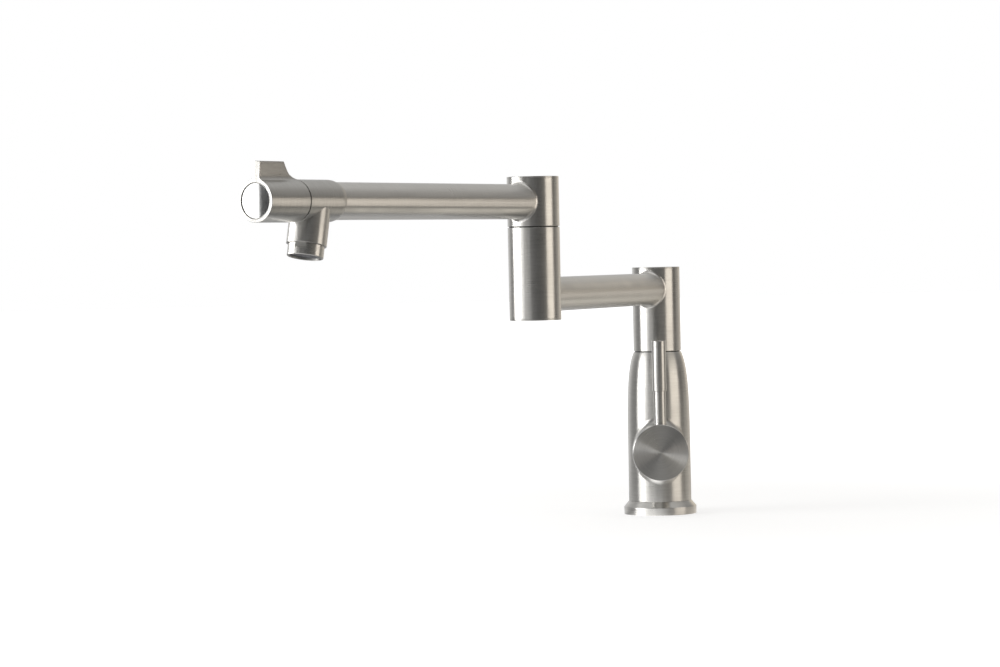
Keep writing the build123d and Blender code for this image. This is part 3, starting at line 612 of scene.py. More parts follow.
# ---------------------------------------------------------------- turning columns
# Short lengths of stainless tube stand on the two swivels. Each is closed
# by a thin disc cap whose seam shows as a fine line.
tube_wall, plug_depth, plug_room, disc_thickness = 2.0, 4.4, 0.02, 1.0


def tube_outline(bottom, top):
    """A tube's wall in section, its outer corners broken."""
    return rounded((
        (column_radius - tube_wall, bottom, 0),
        (column_radius, bottom, 0.3),
        (column_radius, top, 0.2),
        (column_radius - tube_wall, top, 0),
    ))


def cap_outline(seat, facing):
    """A thin disc with a plug behind it, facing up (1) or down (-1) from its seat on the tube."""
    plug = column_radius - tube_wall - plug_room
    face = seat + disc_thickness * facing
    return rounded((
        (0.0, seat - plug_depth * facing, 0),
        (plug, seat - plug_depth * facing, 0),
        (plug, seat, 0),
        (column_radius, seat, 0.2),
        (column_radius, face, 0.4),
        (0.0, face, 0),
    ))


lower_arm_angle, lower_arm_length = radians(67.95), 252.8
lower_way = np.array((-cos(lower_arm_angle), -sin(lower_arm_angle), 0.0))
elbow_centre = lower_way * lower_arm_length * mm
swivel_gap = 0.8
riser_bottom, riser_seat = body_top + swivel_gap, 197.0
elbow_base, elbow_split, elbow_seat = 163.0, 229.9, 266.0
elbow_start = elbow_split + swivel_gap

# the grub screws sit opposite the arm on the riser, and over it on the elbow
riser_grub, elbow_grub, grub_hole = 159.16, 213.99, 2.52
grub_floor = column_radius - tube_wall + 0.05
for name, node_name, body, centre, bottom, top, grub in (
    ("riser_tube", "riser_column", "lower_arm", deck_centre, riser_bottom, riser_seat, riser_grub),
    ("elbow_tube_lower", "elbow_housing", "lower_arm", elbow_centre, elbow_base, elbow_split, elbow_grub),
    ("elbow_tube_upper", "elbow_column", "upper_arm", elbow_centre, elbow_start, elbow_seat, None),
):
    outline = tube_outline(bottom, top)
    if grub is None:
        tube = turned(outline, centre, up)
    else:
        tube = drilled(outline, centre, up, -lower_way, grub, grub_hole, grub_floor)
    piece(name, [tube], brushed_steel, body, [node_name])

for name, node_name, body, centre, seat, facing in (
    ("riser_end_cap", "riser_cap", "lower_arm", deck_centre, riser_seat, 1),
    ("elbow_end_cap_lower", "elbow_bottom_cap", "lower_arm", elbow_centre, elbow_base, -1),
    ("elbow_end_cap_upper", "elbow_top_cap", "upper_arm", elbow_centre, elbow_seat, 1),
):
    cap = turned(cap_outline(seat, facing), centre, up)
    piece(name, [cap], brushed_steel, body, [node_name])

# ---------------------------------------------------------------- arm tubes
# Stainless tubes cut to the shape of the columns and welded to them. The
# welds are ground to small hollow blends and polished.
tube_steel = metal(
    "tube_steel",
    dark=(0.645, 0.63, 0.60),
    light=(0.71, 0.695, 0.665),
    rough=0.33,
    rough_swing=0.025,
    bump=0.15,
    stretch=0.85,
)
weld_blend = 2.5
weld_angle = np.linspace(0, 2 * pi, around_steps + 1)


def welded_tube(radius, height, out_way, centre, end_places):
    """One closed surface: a blend at the column, a straight tube, its far end, and back inside.

    The straight rows run evenly from the blend's last row to the end's first.
    """
    start = saddle_blend(radius, column_radius, weld_blend, weld_angle)
    share = np.linspace(0.002, 0.998, 40)[:, None, None]
    straight = start[-1] * (1 - share) + end_places[0] * share
    outer = np.concatenate([start, straight, end_places])
    inner_end, inner_start = outer[-1:].copy(), outer[:1].copy()
    for ring in (inner_end, inner_start):
        ring[..., 1] = np.cos(weld_angle) * (radius - tube_wall)
        ring[..., 2] = np.sin(weld_angle) * (radius - tube_wall)
    local = np.concatenate([outer, inner_end, inner_start, outer[:1]])
    places = placed(local, out_way, np.cross(up, out_way), centre + up * height * mm)
    across = np.broadcast_to(weld_angle / (2 * pi), local.shape[:2])
    return places, np.stack([across, local[..., 0] * mm], -1)


lower_radius, lower_height = 12.7, 180.5
far_end = saddle_blend(lower_radius, column_radius, weld_blend, weld_angle)[::-1].copy()
far_end[..., 0] = lower_arm_length - far_end[..., 0]
upper_radius, upper_height, outlet_start, outlet_lap = 12.7, 248.6, 241.7, 0.5
upper_arm_angle = radians(56.8)
upper_way = np.array((-cos(upper_arm_angle), -sin(upper_arm_angle), 0.0))
plain_end = np.stack([
    np.full_like(weld_angle, outlet_start + outlet_lap),
    upper_radius * np.cos(weld_angle),
    upper_radius * np.sin(weld_angle),
], -1)[None]
# each arm's piece has the name of the body it rides on
for body, node_name, radius, height, way, centre, end in (
    ("lower_arm", "lower_arm_tube", lower_radius, lower_height, lower_way, deck_centre, far_end),
    ("upper_arm", "upper_arm_tube", upper_radius, upper_height, upper_way, elbow_centre, plain_end),
):
    tube = welded_tube(radius, height, way, centre, end)
    piece(body, [tube], tube_steel, body, [node_name])

# ---------------------------------------------------------------- outlet body
# A short cylinder at the arm's end, with a spout stub welded under it that
# leans towards the handle. Where they meet, the edge is left crisp.
outlet_radius, outlet_end, shoulder_length, outlet_bore = 14.2, 281.7, 6.0, 8.0
arm_centre = elbow_centre + up * upper_height * mm
stub_lean, stub_reach = radians(12.4), 264.1
stub_way = upper_way * sin(stub_lean) - up * cos(stub_lean)
stub_centre = arm_centre + upper_way * stub_reach * mm
stub_radius, stub_bore, stub_root, stub_end, stub_floor = 13.5, 11.5, 3.0, 30.0, 23.0
outlet_shoulder = pulled_curve((
    (upper_radius + 0.2, outlet_start),
    (outlet_radius, outlet_start + shoulder_length / 2),
    (outlet_radius, outlet_start + shoulder_length),
), 16)
outlet_rim = rounded((
    (outlet_radius, 255, 0),
    (outlet_radius, outlet_end, 0.15),
    (outlet_bore, outlet_end, 0),
))
outlet_outline = np.concatenate([
    [(outlet_bore, outlet_start), (upper_radius + 0.15, outlet_start)],
    outlet_shoulder,
    outlet_rim[1:],
])
stub_outline = rounded((
    (0.0, stub_root, 0),
    (stub_radius, stub_root, 0),
    (stub_radius, stub_end, 0.3),
    (stub_bore, stub_end, 0),
    (stub_bore, stub_floor, 0),
    (0.0, stub_floor, 0),
))
piece(
    "outlet_tee",
    [
        turned(outlet_outline, arm_centre, upper_way),
        turned(stub_outline, stub_centre, stub_way),
    ],
    brushed_steel,
    "upper_arm",
    ["outlet_body"],
)

# ---------------------------------------------------------------- outlet handle
# A turned cylinder with a thumb blade on top, machined in one with it. The
# blade runs down in hollow curves and stands a few degrees off upright.
handle_start, handle_end = outlet_end + swivel_gap, 323.2
blade_height, blade_half, blade_blend, blade_round = 11.7, 2.55, 3.8, 0.5
blade_top_length, blade_foot_length = 25.0, 40.5
blade_top = outlet_radius + blade_height
blade_lean = radians(4.6)
rim_round, rim_hold, lip = 0.35, 0.15, 0.2
cap_pocket, cap_recess, cap_thickness, screw_bore = 12.0, 0.6, 1.2, 4.2
circle_points, foot_points = 44, 7


def keyhole_outline(crest):
    """The handle in section: a circle, a hollow foot each side, and the blade cut off at a crest.

    Sideways and upward places of one half run from the bottom of the circle up
    its side, along a hollow arc, up the blade's side and round to its middle.
    The other half mirrors it. Nothing sinks below the circle.
    """
    foot_side = blade_half + blade_blend
    foot_rise = np.sqrt((outlet_radius + blade_blend) ** 2 - foot_side**2)
    touch = np.array((foot_side, foot_rise)) * outlet_radius / (outlet_radius + blade_blend)
    swing = np.linspace(pi, np.arctan2(touch[0], touch[1]), circle_points)
    circle = np.stack([np.sin(swing), np.cos(swing)], -1) * outlet_radius
    first = np.arctan2(touch[1] - foot_rise, touch[0] - foot_side)
    bend = np.linspace(first, -pi, foot_points + 1)[1:]
    foot = np.stack([np.cos(bend), np.sin(bend)], -1) * blade_blend + (foot_side, foot_rise)
    rows = len(crest)
    base = np.concatenate([circle, foot])
    base = np.broadcast_to(base, (rows, *base.shape))
    side_share = np.linspace(0, 1, 6)[1:]
    side_top = np.maximum(crest - blade_round, foot_rise)
    side_rise = foot_rise + (side_top[:, None] - foot_rise) * side_share
    sides = np.stack([np.full_like(side_rise, blade_half), side_rise], -1)
    turn_share = np.linspace(0, pi / 2, 6)[1:]
    round_side = blade_half - blade_round + blade_round * np.cos(turn_share)
    round_rise = (crest - blade_round)[:, None] + blade_round * np.sin(turn_share)
    rounds = np.stack([np.broadcast_to(round_side, round_rise.shape), round_rise], -1)
    flat_side = np.linspace(round_side[-1], 0, 4)[1:]
    flats = np.stack([np.broadcast_to(flat_side, (rows, 3)), np.repeat(crest[:, None], 3, 1)], -1)
    half = np.concatenate([base, sides, rounds, flats], 1)
    rise = np.minimum(half[..., 1], crest[:, None])
    skin = np.sqrt(np.maximum(outlet_radius**2 - half[..., 0] ** 2, 0))
    upper = half[..., 1] > 0
    half = np.stack([half[..., 0], np.where(upper, np.maximum(rise, skin), half[..., 1])], -1)
    mirrored = half[:, ::-1][:, 1:] * (-1, 1)
    return np.concatenate([half, mirrored], 1)


rear = pulled_curve((
    (blade_top_length, blade_top),
    (blade_top_length + 5.2, blade_top - 8.2),
    (blade_top_length + 7, outlet_radius + 1.4),
    (blade_foot_length, outlet_radius - 0.2),
), 60)
stations = np.concatenate([
    [handle_start + 0.3, handle_start + 0.6],
    handle_end - rear[::-1, 0],
    np.linspace(handle_end - blade_top_length + 0.5, handle_end - rim_round - 0.25, 12),
])
crest = np.interp(handle_end - stations, rear[:, 0], rear[:, 1], left=blade_top, right=0.0)
walls = keyhole_outline(crest)
walls = np.concatenate([np.repeat(stations[:, None, None], walls.shape[1], 1), walls], -1)
end_shape = walls[-1, :, 1:]
polar = np.arctan2(end_shape[:, 0], end_shape[:, 1])
around_unit = np.stack([np.sin(polar), np.cos(polar)], -1)


def ring_at(reach, shape):
    """One row of the handle: a closed shape at a reach along the arm."""
    return np.concatenate([np.full((len(shape), 1), reach), shape], 1)[None]


# the rim is rounded along the skin's own inward way, square to its outline
along_skin = np.roll(end_shape, -1, 0) - np.roll(end_shape, 1, 0)
skin_in = np.stack([along_skin[:, 1], -along_skin[:, 0]], -1)
skin_in /= np.linalg.norm(skin_in, axis=1, keepdims=True)
skin_in *= np.sign((skin_in * -end_shape).sum())
skin_in[[0, -1]] = (0, 1)
edge_rows = [
    ring_at(
        handle_end - rim_round * (1 - np.sin(part)),
        end_shape + skin_in * rim_round * (1 - np.cos(part)),
    )
    for part in np.linspace(0, pi / 2, 6)
]
face_outer = end_shape + skin_in * (rim_round + rim_hold)
face_inner = around_unit * (cap_pocket + lip)
face_rows = [
    ring_at(handle_end, face_outer * (1 - part) + face_inner * part)
    for part in (0.0, 0.25, 0.5, 0.75, 0.97, 1.0)
]
pocket_floor = handle_end - cap_recess - cap_thickness
pocket_rows = [
    ring_at(reach, around_unit * size)
    for reach, size in (
        (handle_end - lip, cap_pocket),
        (handle_end - cap_recess, cap_pocket),
        (pocket_floor, cap_pocket),
        (pocket_floor, screw_bore),
        (pocket_floor, 0.0),
    )
]
plain = walls[0, :, 1:]
start_rows = [
    ring_at(reach, plain * scale)
    for reach, scale in (
        (handle_start, 0.0),
        (handle_start, 0.95),
        (handle_start, 1 - 0.15 / outlet_radius),
        (handle_start + 0.05, 1 - 0.05 / outlet_radius),
    )
]
handle_local = np.concatenate([*start_rows, walls, *edge_rows, *face_rows, *pocket_rows])
lean_side, lean_rise = handle_local[..., 1], handle_local[..., 2]
handle_local = np.stack([
    handle_local[..., 0],
    lean_side * cos(blade_lean) + lean_rise * sin(blade_lean),
    lean_rise * cos(blade_lean) - lean_side * sin(blade_lean),
], -1)
handle_places = placed(handle_local, upper_way, np.cross(up, upper_way), arm_centre)
# the cylinder and the end are brushed round, the blade lengthwise, and a
# length of once round the handle, in metres, counts as one turn on both
once_round = 0.09
handle_map = mapped(handle_places)
across_step = np.linalg.norm(np.diff(handle_places, axis=1), axis=-1)
across_run = np.concatenate([np.zeros((len(handle_places), 1)), np.cumsum(across_step, 1)], 1)
blade_map = np.stack([handle_map[..., 1] / once_round, across_run], -1)
end_row = len(start_rows) + len(walls) - 1
blade_edge = circle_points + foot_points - 3
blade_columns = slice(blade_edge, walls.shape[1] - blade_edge)
handle_sheets = [
    (handle_places[: end_row + 1, columns], chart[: end_row + 1, columns])
    for columns, chart in (
        (slice(0, blade_columns.start + 1), handle_map),
        (blade_columns, blade_map),
        (slice(blade_columns.stop - 1, None), handle_map),
    )
]
handle_sheets.append((handle_places[end_row:], handle_map[end_row:]))
piece(
    "shutoff_handle",
    handle_sheets,
    brushed_steel,
    "outlet_lever",
    ["outlet_handle"],
    crease=40,
)

# ---------------------------------------------------------------- handle cap
# A thin disc polished to a mirror, pressed into the handle's end over the
# screw. A fine groove runs round it.
mirror_steel = metal(
    "mirror_steel",
    dark=(0.78, 0.78, 0.77),
    light=(0.82, 0.82, 0.81),
    rough=0.03,
    rough_swing=0.006,
    bump=0.01,
    patch=0.01,
)
cap_radius, cap_stem, cap_stem_length = cap_pocket - 0.5, 4.15, 6
cap_face = handle_end - cap_recess - 0.02
cap_foot = handle_end - cap_recess - cap_stem_length
cap_disc = rounded((
    (0.0, cap_foot, 0),
    (cap_stem, cap_foot, 0),
    (cap_stem, pocket_floor, 0),
    (cap_radius, pocket_floor, 0),
    (cap_radius, cap_face, 0.2),
    (0.0, cap_face, 0),
))
piece(
    "handle_end_disc",
    [turned(cap_disc, arm_centre, upper_way, 160)],
    mirror_steel,
    "outlet_lever",
    ["handle_cap"],
)

# ---------------------------------------------------------------- aerator
# A turned housing screwed up into the stub, with two wrench flats. Inside
# it sits a dark moulded insert whose screen is a fine waffle.
aerator_radius, aerator_start, aerator_end = 12.2, 30.0, 38.1
aerator_top, aerator_bore, aerator_thread = 24.0, 10.5, 11.48
flat_width, flat_height, flat_turn = 7.7, 3.6, radians(70)
housing_outline = rounded((
    (aerator_bore, aerator_top, 0),
    (aerator_thread, aerator_top, 0),
    (aerator_thread, aerator_start, 0),
    (aerator_radius, aerator_start, 0.25),
    (aerator_radius, aerator_end, 0.45),
    (aerator_bore, aerator_end, 0.2),
))
row_share = np.linspace(0, 1, 14)[:, None]
first_row = np.array((aerator_radius, aerator_start + 0.6))
last_row = np.array((aerator_radius, aerator_end - 1))
flat_rows = first_row * (1 - row_share) + last_row * row_share
cut = np.argmax(housing_outline[:, 1] > aerator_start + 0.4)
housing_outline = np.concatenate([housing_outline[:cut], flat_rows, housing_outline[cut:]])
housing_places, housing_map = turned(housing_outline, stub_centre, stub_way, 192)
stub_side = np.cross(upper_way, up)
flat_way = stub_side * cos(flat_turn) + np.cross(stub_way, stub_side) * sin(flat_turn)
flat_reach = np.sqrt(aerator_radius**2 - (flat_width / 2) ** 2) * mm
offset = (housing_places - stub_centre) @ flat_way
down = (housing_places - stub_centre) @ stub_way
in_band = (down > (aerator_start - 0.01) * mm) & (down < (aerator_start + flat_height) * mm)
excess = np.where(in_band, np.sign(offset) * np.maximum(np.abs(offset) - flat_reach, 0), 0)
housing_places = housing_places - excess[..., None] * flat_way
piece(
    "aerator_shell",
    [(housing_places, housing_map)],
    brushed_steel,
    "upper_arm",
    ["aerator_housing"],
)


def plastic(name, dark, light, rough, grain_size, bump):
    """A moulded or rubbery surface: fine noise in colour, gloss and relief."""
    made, tree, shader = new_finish(name)
    smudge = node(tree, "ShaderNodeGroup", node_tree=smudge_tree, Size=grain_size).outputs
    tone = ranged(tree, smudge["Patch"], 0.0, 1.0)
    gloss = ranged(tree, smudge["Speck"], rough - 0.08, rough + 0.08)
    dress(tree, shader, dark, light, tone, gloss, smudge["Speck"], bump, soft_relief)
    return made


insert_plastic = plastic("insert_plastic", (0.10, 0.10, 0.105), (0.18, 0.18, 0.19), 0.45, 90.0, 0.3)
screen_radius, screen_pitch, screen_depth = 9.2, 0.9, 0.35
screen_face = aerator_end - 1.6
rim_face, insert_radius = screen_face + 0.35, 10.48
swing = np.linspace(0, 2 * pi, 121)
grid_reach, grid_swing = np.meshgrid(np.linspace(0, screen_radius, 60), swing, indexing="ij")
grid_side, grid_rise = grid_reach * np.cos(grid_swing), grid_reach * np.sin(grid_swing)
waffle = np.abs(np.sin(grid_side * pi / screen_pitch)) * np.abs(np.sin(grid_rise * pi / screen_pitch))
insert_side, insert_rise = axes_for(stub_way)


def on_stub(side, rise, depth):
    """Places on the stub's axis from sideways, upward and down-the-stub millimetres."""
    return stub_centre + mm * (
        side[..., None] * insert_side + rise[..., None] * insert_rise + depth[..., None] * stub_way
    )


insert_rim = np.array((
    (screen_radius, screen_face),
    (9.5, screen_face),
    (9.6, rim_face),
    (10.3, rim_face),
    (insert_radius, rim_face - 0.15),
    (insert_radius, aerator_top),
    (0.0, aerator_top),
))
insert_places = np.concatenate([
    on_stub(grid_side, grid_rise, screen_face - screen_depth * waffle),
    on_stub(
        insert_rim[:, :1] * np.cos(swing),
        insert_rim[:, :1] * np.sin(swing),
        np.repeat(insert_rim[:, 1:], len(swing), 1),
    ),
])
piece(
    "aerator_screen",
    [(insert_places, mapped(insert_places))],
    insert_plastic,
    "upper_arm",
    ["aerator_insert"],
)

# ---------------------------------------------------------------- bearing rings
# Thin rings of black acetal fill the gaps where the columns turn. They sit
# a little inside the tubes, so each gap shows as a dark line.
ring_plastic = plastic("ring_plastic", (0.018, 0.018, 0.018), (0.035, 0.035, 0.035), 0.4, 60.0, 0.2)
ring_inner, ring_outer, ring_height = 14.0, 18.0, 0.75
for name, node_name, body, centre, seat in (
    ("riser_glide_ring", "riser_bearing_ring", "base", deck_centre, body_top),
    ("elbow_glide_ring", "elbow_bearing_ring", "lower_arm", elbow_centre, elbow_split),
):
    outline = rounded((
        (ring_inner, seat, 0),
        (ring_outer, seat, 0.1),
        (ring_outer, seat + ring_height, 0.1),
        (ring_inner, seat + ring_height, 0),
    ))
    piece(name, [turned(outline, centre, up)], ring_plastic, body, [node_name])

# ---------------------------------------------------------------- brass under the deck
# The brass shank has a one-inch thread and carries a hexagon nut. The
# inlet tail below it has a half-inch thread for the supply hose.
turned_brass = metal(
    "turned_brass",
    dark=(0.60, 0.40, 0.16),
    light=(0.76, 0.56, 0.27),
    rough=0.28,
    rough_swing=0.06,
    bump=0.3,
    patch=0.08,
)
thread_depth, waterway = 0.9, 6.5


def upright_rows(size, height, swing):
    """Rows round the upright axis: (size * cos swing, size * sin swing, height)."""
    return np.stack([size * np.cos(swing), size * np.sin(swing), height + 0 * swing], -1)


def threaded(radius, bottom, top, pitch, steps=72, rows_per_turn=8):
    """A threaded rod with the waterway through it.

    The radius falls and rises once for each pitch of height, the wave climbs
    one pitch in a turn, and it fades out at both ends.
    """
    rows = int((top - bottom) / pitch * rows_per_turn)
    height = np.linspace(bottom, top, rows)[:, None]
    swing = np.linspace(0, 2 * pi, steps + 1)[None]
    phase = (height / pitch - swing / (2 * pi)) % 1.0
    wave = np.abs(phase * 2 - 1)
    fade = np.clip(np.minimum(height - bottom, top - height) / pitch, 0, 1)
    size = radius - thread_depth * (1 - (1 - wave) * fade)
    outside = upright_rows(size, height, swing)
    inside = [upright_rows(waterway, level, swing) for level in (top, bottom)]
    return np.concatenate([outside, *inside, outside[:1]])


def hexagon(flats, bottom, top, bore, chamfer, steps=144):
    """A hexagon bar with its corners turned off: the smaller of a hexagon and a cone."""
    corner_depth, corner_rows, corner_angle = 3, 7, radians(30)
    swing = np.linspace(0, 2 * pi, steps + 1)[None]
    sixth = (swing + pi / 6) % (pi / 3) - pi / 6
    prism = flats / 2 / np.cos(sixth)
    height = np.concatenate([
        np.linspace(bottom, bottom + corner_depth, corner_rows),
        np.linspace(top - corner_depth, top, corner_rows),
    ])[:, None]
    edge = np.minimum(height - bottom, top - height)
    size = np.minimum(prism, flats / 2 - chamfer + edge / np.tan(corner_angle))
    outside = upright_rows(size, height, swing)
    inside = [upright_rows(bore, level, swing) for level in (top, bottom)]
    return np.concatenate([outside, *inside, outside[:1]])


shank_radius, shank_bottom, shank_top, shank_pitch = 15.98, -58.0, 20.0, 2.309
nut_flats, nut_bottom, nut_top, nut_bore = 44.0, -45.0, -35.0, 16.0
tail_radius, tail_bottom, tail_pitch = 10.48, -78.0, 1.814
collar_flats, collar_bottom, spigot_size, spigot_level = 26.0, -62.0, 8.98, -48.0
shank = threaded(shank_radius, shank_bottom, shank_top, shank_pitch) * mm
nut = hexagon(nut_flats, nut_bottom, nut_top, nut_bore, 0.6) * mm
tail_thread = threaded(tail_radius, tail_bottom, collar_bottom + 0.1, tail_pitch) * mm
tail_collar = hexagon(collar_flats, collar_bottom, shank_bottom, waterway, 0.4) * mm
tail_spigot = rounded((
    (waterway, shank_bottom, 0),
    (spigot_size, shank_bottom, 0),
    (spigot_size, spigot_level, 0.3),
    (waterway, spigot_level, 0),
))
tail = [(rows, mapped(rows)) for rows in (tail_thread, tail_collar)]
tail.append(turned(tail_spigot, deck_centre, up, 64))
for name, node_name, sheets, crease in (
    ("deck_shank", "mounting_shank", [(shank, mapped(shank))], 35),
    ("clamp_nut", "mounting_nut", [(nut, mapped(nut))], 25),
    ("hose_tail", "inlet_tail", tail, 25),
):
    piece(name, sheets, turned_brass, "base", [node_name], crease)

# ---------------------------------------------------------------- rubber and washers
# The gasket and one washer are black rubber with broken edges. The other
# washer is zinc-plated steel.
rubber_black = plastic("rubber_black", (0.016, 0.016, 0.016), (0.032, 0.032, 0.032), 0.62, 70.0, 0.6)
plated_steel = metal(
    "plated_steel",
    dark=(0.44, 0.44, 0.44),
    light=(0.58, 0.58, 0.57),
    rough=0.34,
    rough_swing=0.06,
    bump=0.3,
    lines=2500.0,
)
washer_bore, deck_under, joint = 16.2, -30.0, -33.0
for name, node_name, outer, bottom, top, material, slot in (
    ("foot_gasket", "base_gasket", 25.95, 0.0, 1.98, rubber_black, "rubber_black"),
    ("rubber_clamp_ring", "clamp_rubber_washer", 24.0, joint, deck_under, rubber_black, "rubber_black"),
    ("steel_clamp_ring", "clamp_steel_washer", 25.0, nut_top, joint, plated_steel, "steel_plain"),
):
    outline = rounded((
        (washer_bore, bottom, 0.2),
        (outer, bottom, 0.3),
        (outer, top, 0.3),
        (washer_bore, top, 0.2),
    ))
    piece(name, [turned(outline, deck_centre, up, 96)], material, "base", [node_name])


# ---------------------------------------------------------------- hidden pieces
# The cartridges, posts, sleeves, seals and screws inside keep their own
# shapes and get the finishes of turned brass, steel, rubber and ceramic.
def machined(name, dark, light, rough, size, bump, metallic):
    """A finish for pieces without a map: noise squeezed along the height reads as tool marks."""
    made, tree, shader = new_finish(name)
    shader.inputs["Metallic"].default_value = metallic
    spot = node(tree, "ShaderNodeTexCoord").outputs["Object"]
    squeezed = node(tree, "ShaderNodeMapping", spot, Scale=(size / 10, size / 10, size * 2))
    noise = node(tree, "ShaderNodeTexNoise", Vector=squeezed.outputs[0], Scale=1.0, Detail=2.0)
    marks = noise.outputs[0]
    smudge = node(tree, "ShaderNodeGroup", node_tree=smudge_tree, Size=smudge_size).outputs
    tone = ranged(tree, smudge["Patch"], 0.0, 1.0)
    gloss = ranged(tree, marks, rough - 0.07, rough + 0.07)
    dress(tree, shader, dark, light, tone, gloss, marks, bump, soft_relief)
    return made


finishes = {
    "brass": machined("machined_brass", (0.58, 0.38, 0.15), (0.74, 0.53, 0.25), 0.32, 900.0, 0.3, 1.0),
    "steel_plain": machined("machined_steel", (0.42, 0.42, 0.41), (0.55, 0.55, 0.54), 0.3, 900.0, 0.3, 1.0),
    "ceramic_white": machined(
        "lapped_ceramic", (0.84, 0.83, 0.80), (0.90, 0.89, 0.87), 0.25, 600.0, 0.1, 0.0
    ),
    "rubber_black": rubber_black,
}
for part in frame["record"]["subparts"]:
    cad_node = frame["nodes"][part["node"]]
    if cad_node.hide_render:
        continue
    cad_node.data.materials.clear()
    cad_node.data.materials.append(finishes[part["material_slot"]])

# ---------------------------------------------------------------- studio
# A pale floor under a white backdrop. Round the tap stand a bright panel on
# the left, a warm one on the right and dim walls, as its stripes show.
warm_tint = np.array((1.0, 0.92, 0.82))
brightest = 2.0


def eased(tree, source, start, end, first=0.0, last=1.0):
    """A smooth step of a value between two places."""
    made = node(
        tree, "ShaderNodeMapRange", interpolation_type="SMOOTHSTEP", Value=source,
        From_Min=start, From_Max=end, To_Min=first, To_Max=last,
    )
    return made.outputs["Result"]


def between(tree, source, start, full, fading, end):
    """A smooth step up from start to full times a smooth step down from fading to end."""
    rising = eased(tree, source, start, full)
    return maths(tree, "MULTIPLY", rising, eased(tree, source, fading, end, 1.0, 0.0))


def bearing_band(name, tones):
    """The studio's colour seen along a way: its bearing round the tap reads a colour band.

    Each tone is a bearing, in degrees from straight in front of the tap and
    positive to the right, with its brightness and its warmth.
    """
    tree, group_in, group_out = shader_group(
        name, {"Way": "Vector"}, {"Tone": "Color", "Bearing": "Float"}
    )
    right, back = node(tree, "ShaderNodeSeparateXYZ", group_in["Way"]).outputs[:2]
    bearing = maths(tree, "ARCTAN2", right, maths(tree, "MULTIPLY", back, -1.0))
    share = maths(tree, "ADD", maths(tree, "DIVIDE", bearing, 2 * pi), 0.5)
    band = node(tree, "ShaderNodeValToRGB", share)
    stops = band.color_ramp.elements
    while len(stops) > 1:
        stops.remove(stops[-1])
    for order, (degrees, tone, warmth) in enumerate(tones):
        spot = 0.5 + degrees / 360
        stop = stops[0] if order == 0 else stops.new(spot)
        stop.position = spot
        tint = 1 - warmth + warmth * warm_tint
        stop.color = (*(tone / brightest * tint), 1)
    tree.links.new(band.outputs["Color"], group_out.inputs["Tone"])
    tree.links.new(bearing, group_out.inputs["Bearing"])
    return tree


room_tree = bearing_band("wall_tones", (
    (-180, 0.46, 0.0),
    (-165, 0.70, 0.0),
    (-150, 0.80, 0.0),
    (-136, 0.62, 0.0),
    (-122, 0.36, 0.0),
    (-106, 0.24, 0.0),
    (-96, 0.14, 0.0),
    (-88, 0.05, 0.0),
    (-56, 0.05, 0.0),
    (-46, 0.16, 0.0),
    (-30, 0.20, 0.0),
    (-14, 0.16, 0.0),
    (2, 0.11, 0.0),
    (12, 0.08, 0.2),
    (22, 0.08, 0.4),
    (32, 0.11, 0.5),
    (42, 0.16, 0.6),
    (50, 0.24, 0.8),
    (84, 0.22, 1.0),
    (92, 0.10, 1.0),
    (104, 0.09, 1.0),
    (120, 0.18, 0.9),
    (142, 0.28, 0.6),
    (165, 0.34, 0.2),
    (180, 0.46, 0.0),
))
# painted tones that the floor close to the tap glows with where the steel reflects it
near_floor_tree = bearing_band("near_floor_tones", (
    (-180, 0.34, 0.0),
    (-150, 0.36, 0.0),
    (-122, 0.45, 0.0),
    (-96, 0.50, 0.0),
    (-62, 0.50, 0.0),
    (-50, 0.80, 0.0),
    (-26, 0.46, 0.0),
    (-12, 0.36, 0.0),
    (2, 0.34, 0.0),
    (16, 0.36, 0.2),
    (38, 0.46, 0.4),
    (50, 0.80, 0.8),
    (67, 0.95, 0.8),
    (77, 0.34, 1.0),
    (99, 0.34, 1.0),
    (108, 0.70, 0.8),
    (150, 0.50, 0.5),
    (168, 0.38, 0.2),
    (180, 0.34, 0.0),
))
# and painted tones for the floor right at its foot, where the flange's side looks; they paint that side's
# highlights
foot_floor_tree = bearing_band("foot_floor_tones", (
    (-180, 0.60, 0.0),
    (-119, 1.00, 0.0),
    (-92, 0.70, 0.0),
    (-74, 0.25, 0.0),
    (-56, 0.90, 0.0),
    (-40, 2.00, 0.0),
    (-14, 2.00, 0.0),
    (0, 1.60, 0.0),
    (15, 0.80, 0.2),
    (31, 0.45, 0.4),
    (48, 0.70, 0.8),
    (67, 1.05, 0.8),
    (88, 0.85, 0.8),
    (113, 1.15, 0.5),
    (150, 0.90, 0.3),
    (180, 0.60, 0.0),
))
floor_finish, floor_tree, floor_shader = new_finish("pale_floor")
for socket, value in (
    ("Base Color", (0.5, 0.497, 0.49, 1)),
    ("Roughness", 0.9),
    ("Specular IOR Level", 0.1),
    ("Emission Color", (1, 1, 1, 1)),
):
    floor_shader.inputs[socket].default_value = value
floor_ray = node(floor_tree, "ShaderNodeLightPath").outputs
floor_spot = node(floor_tree, "ShaderNodeTexCoord").outputs["Object"]
floor_reach = node(floor_tree, "ShaderNodeVectorMath", floor_spot, operation="LENGTH").outputs["Value"]
near_glow, far_glow = 0.62, 1.0
glow = eased(floor_tree, floor_reach, 0.15, 1.1, near_glow, far_glow)
glow = maths(floor_tree, "MULTIPLY", glow, floor_ray["Is Camera Ray"])
floor_tree.links.new(glow, floor_shader.inputs["Emission Strength"])
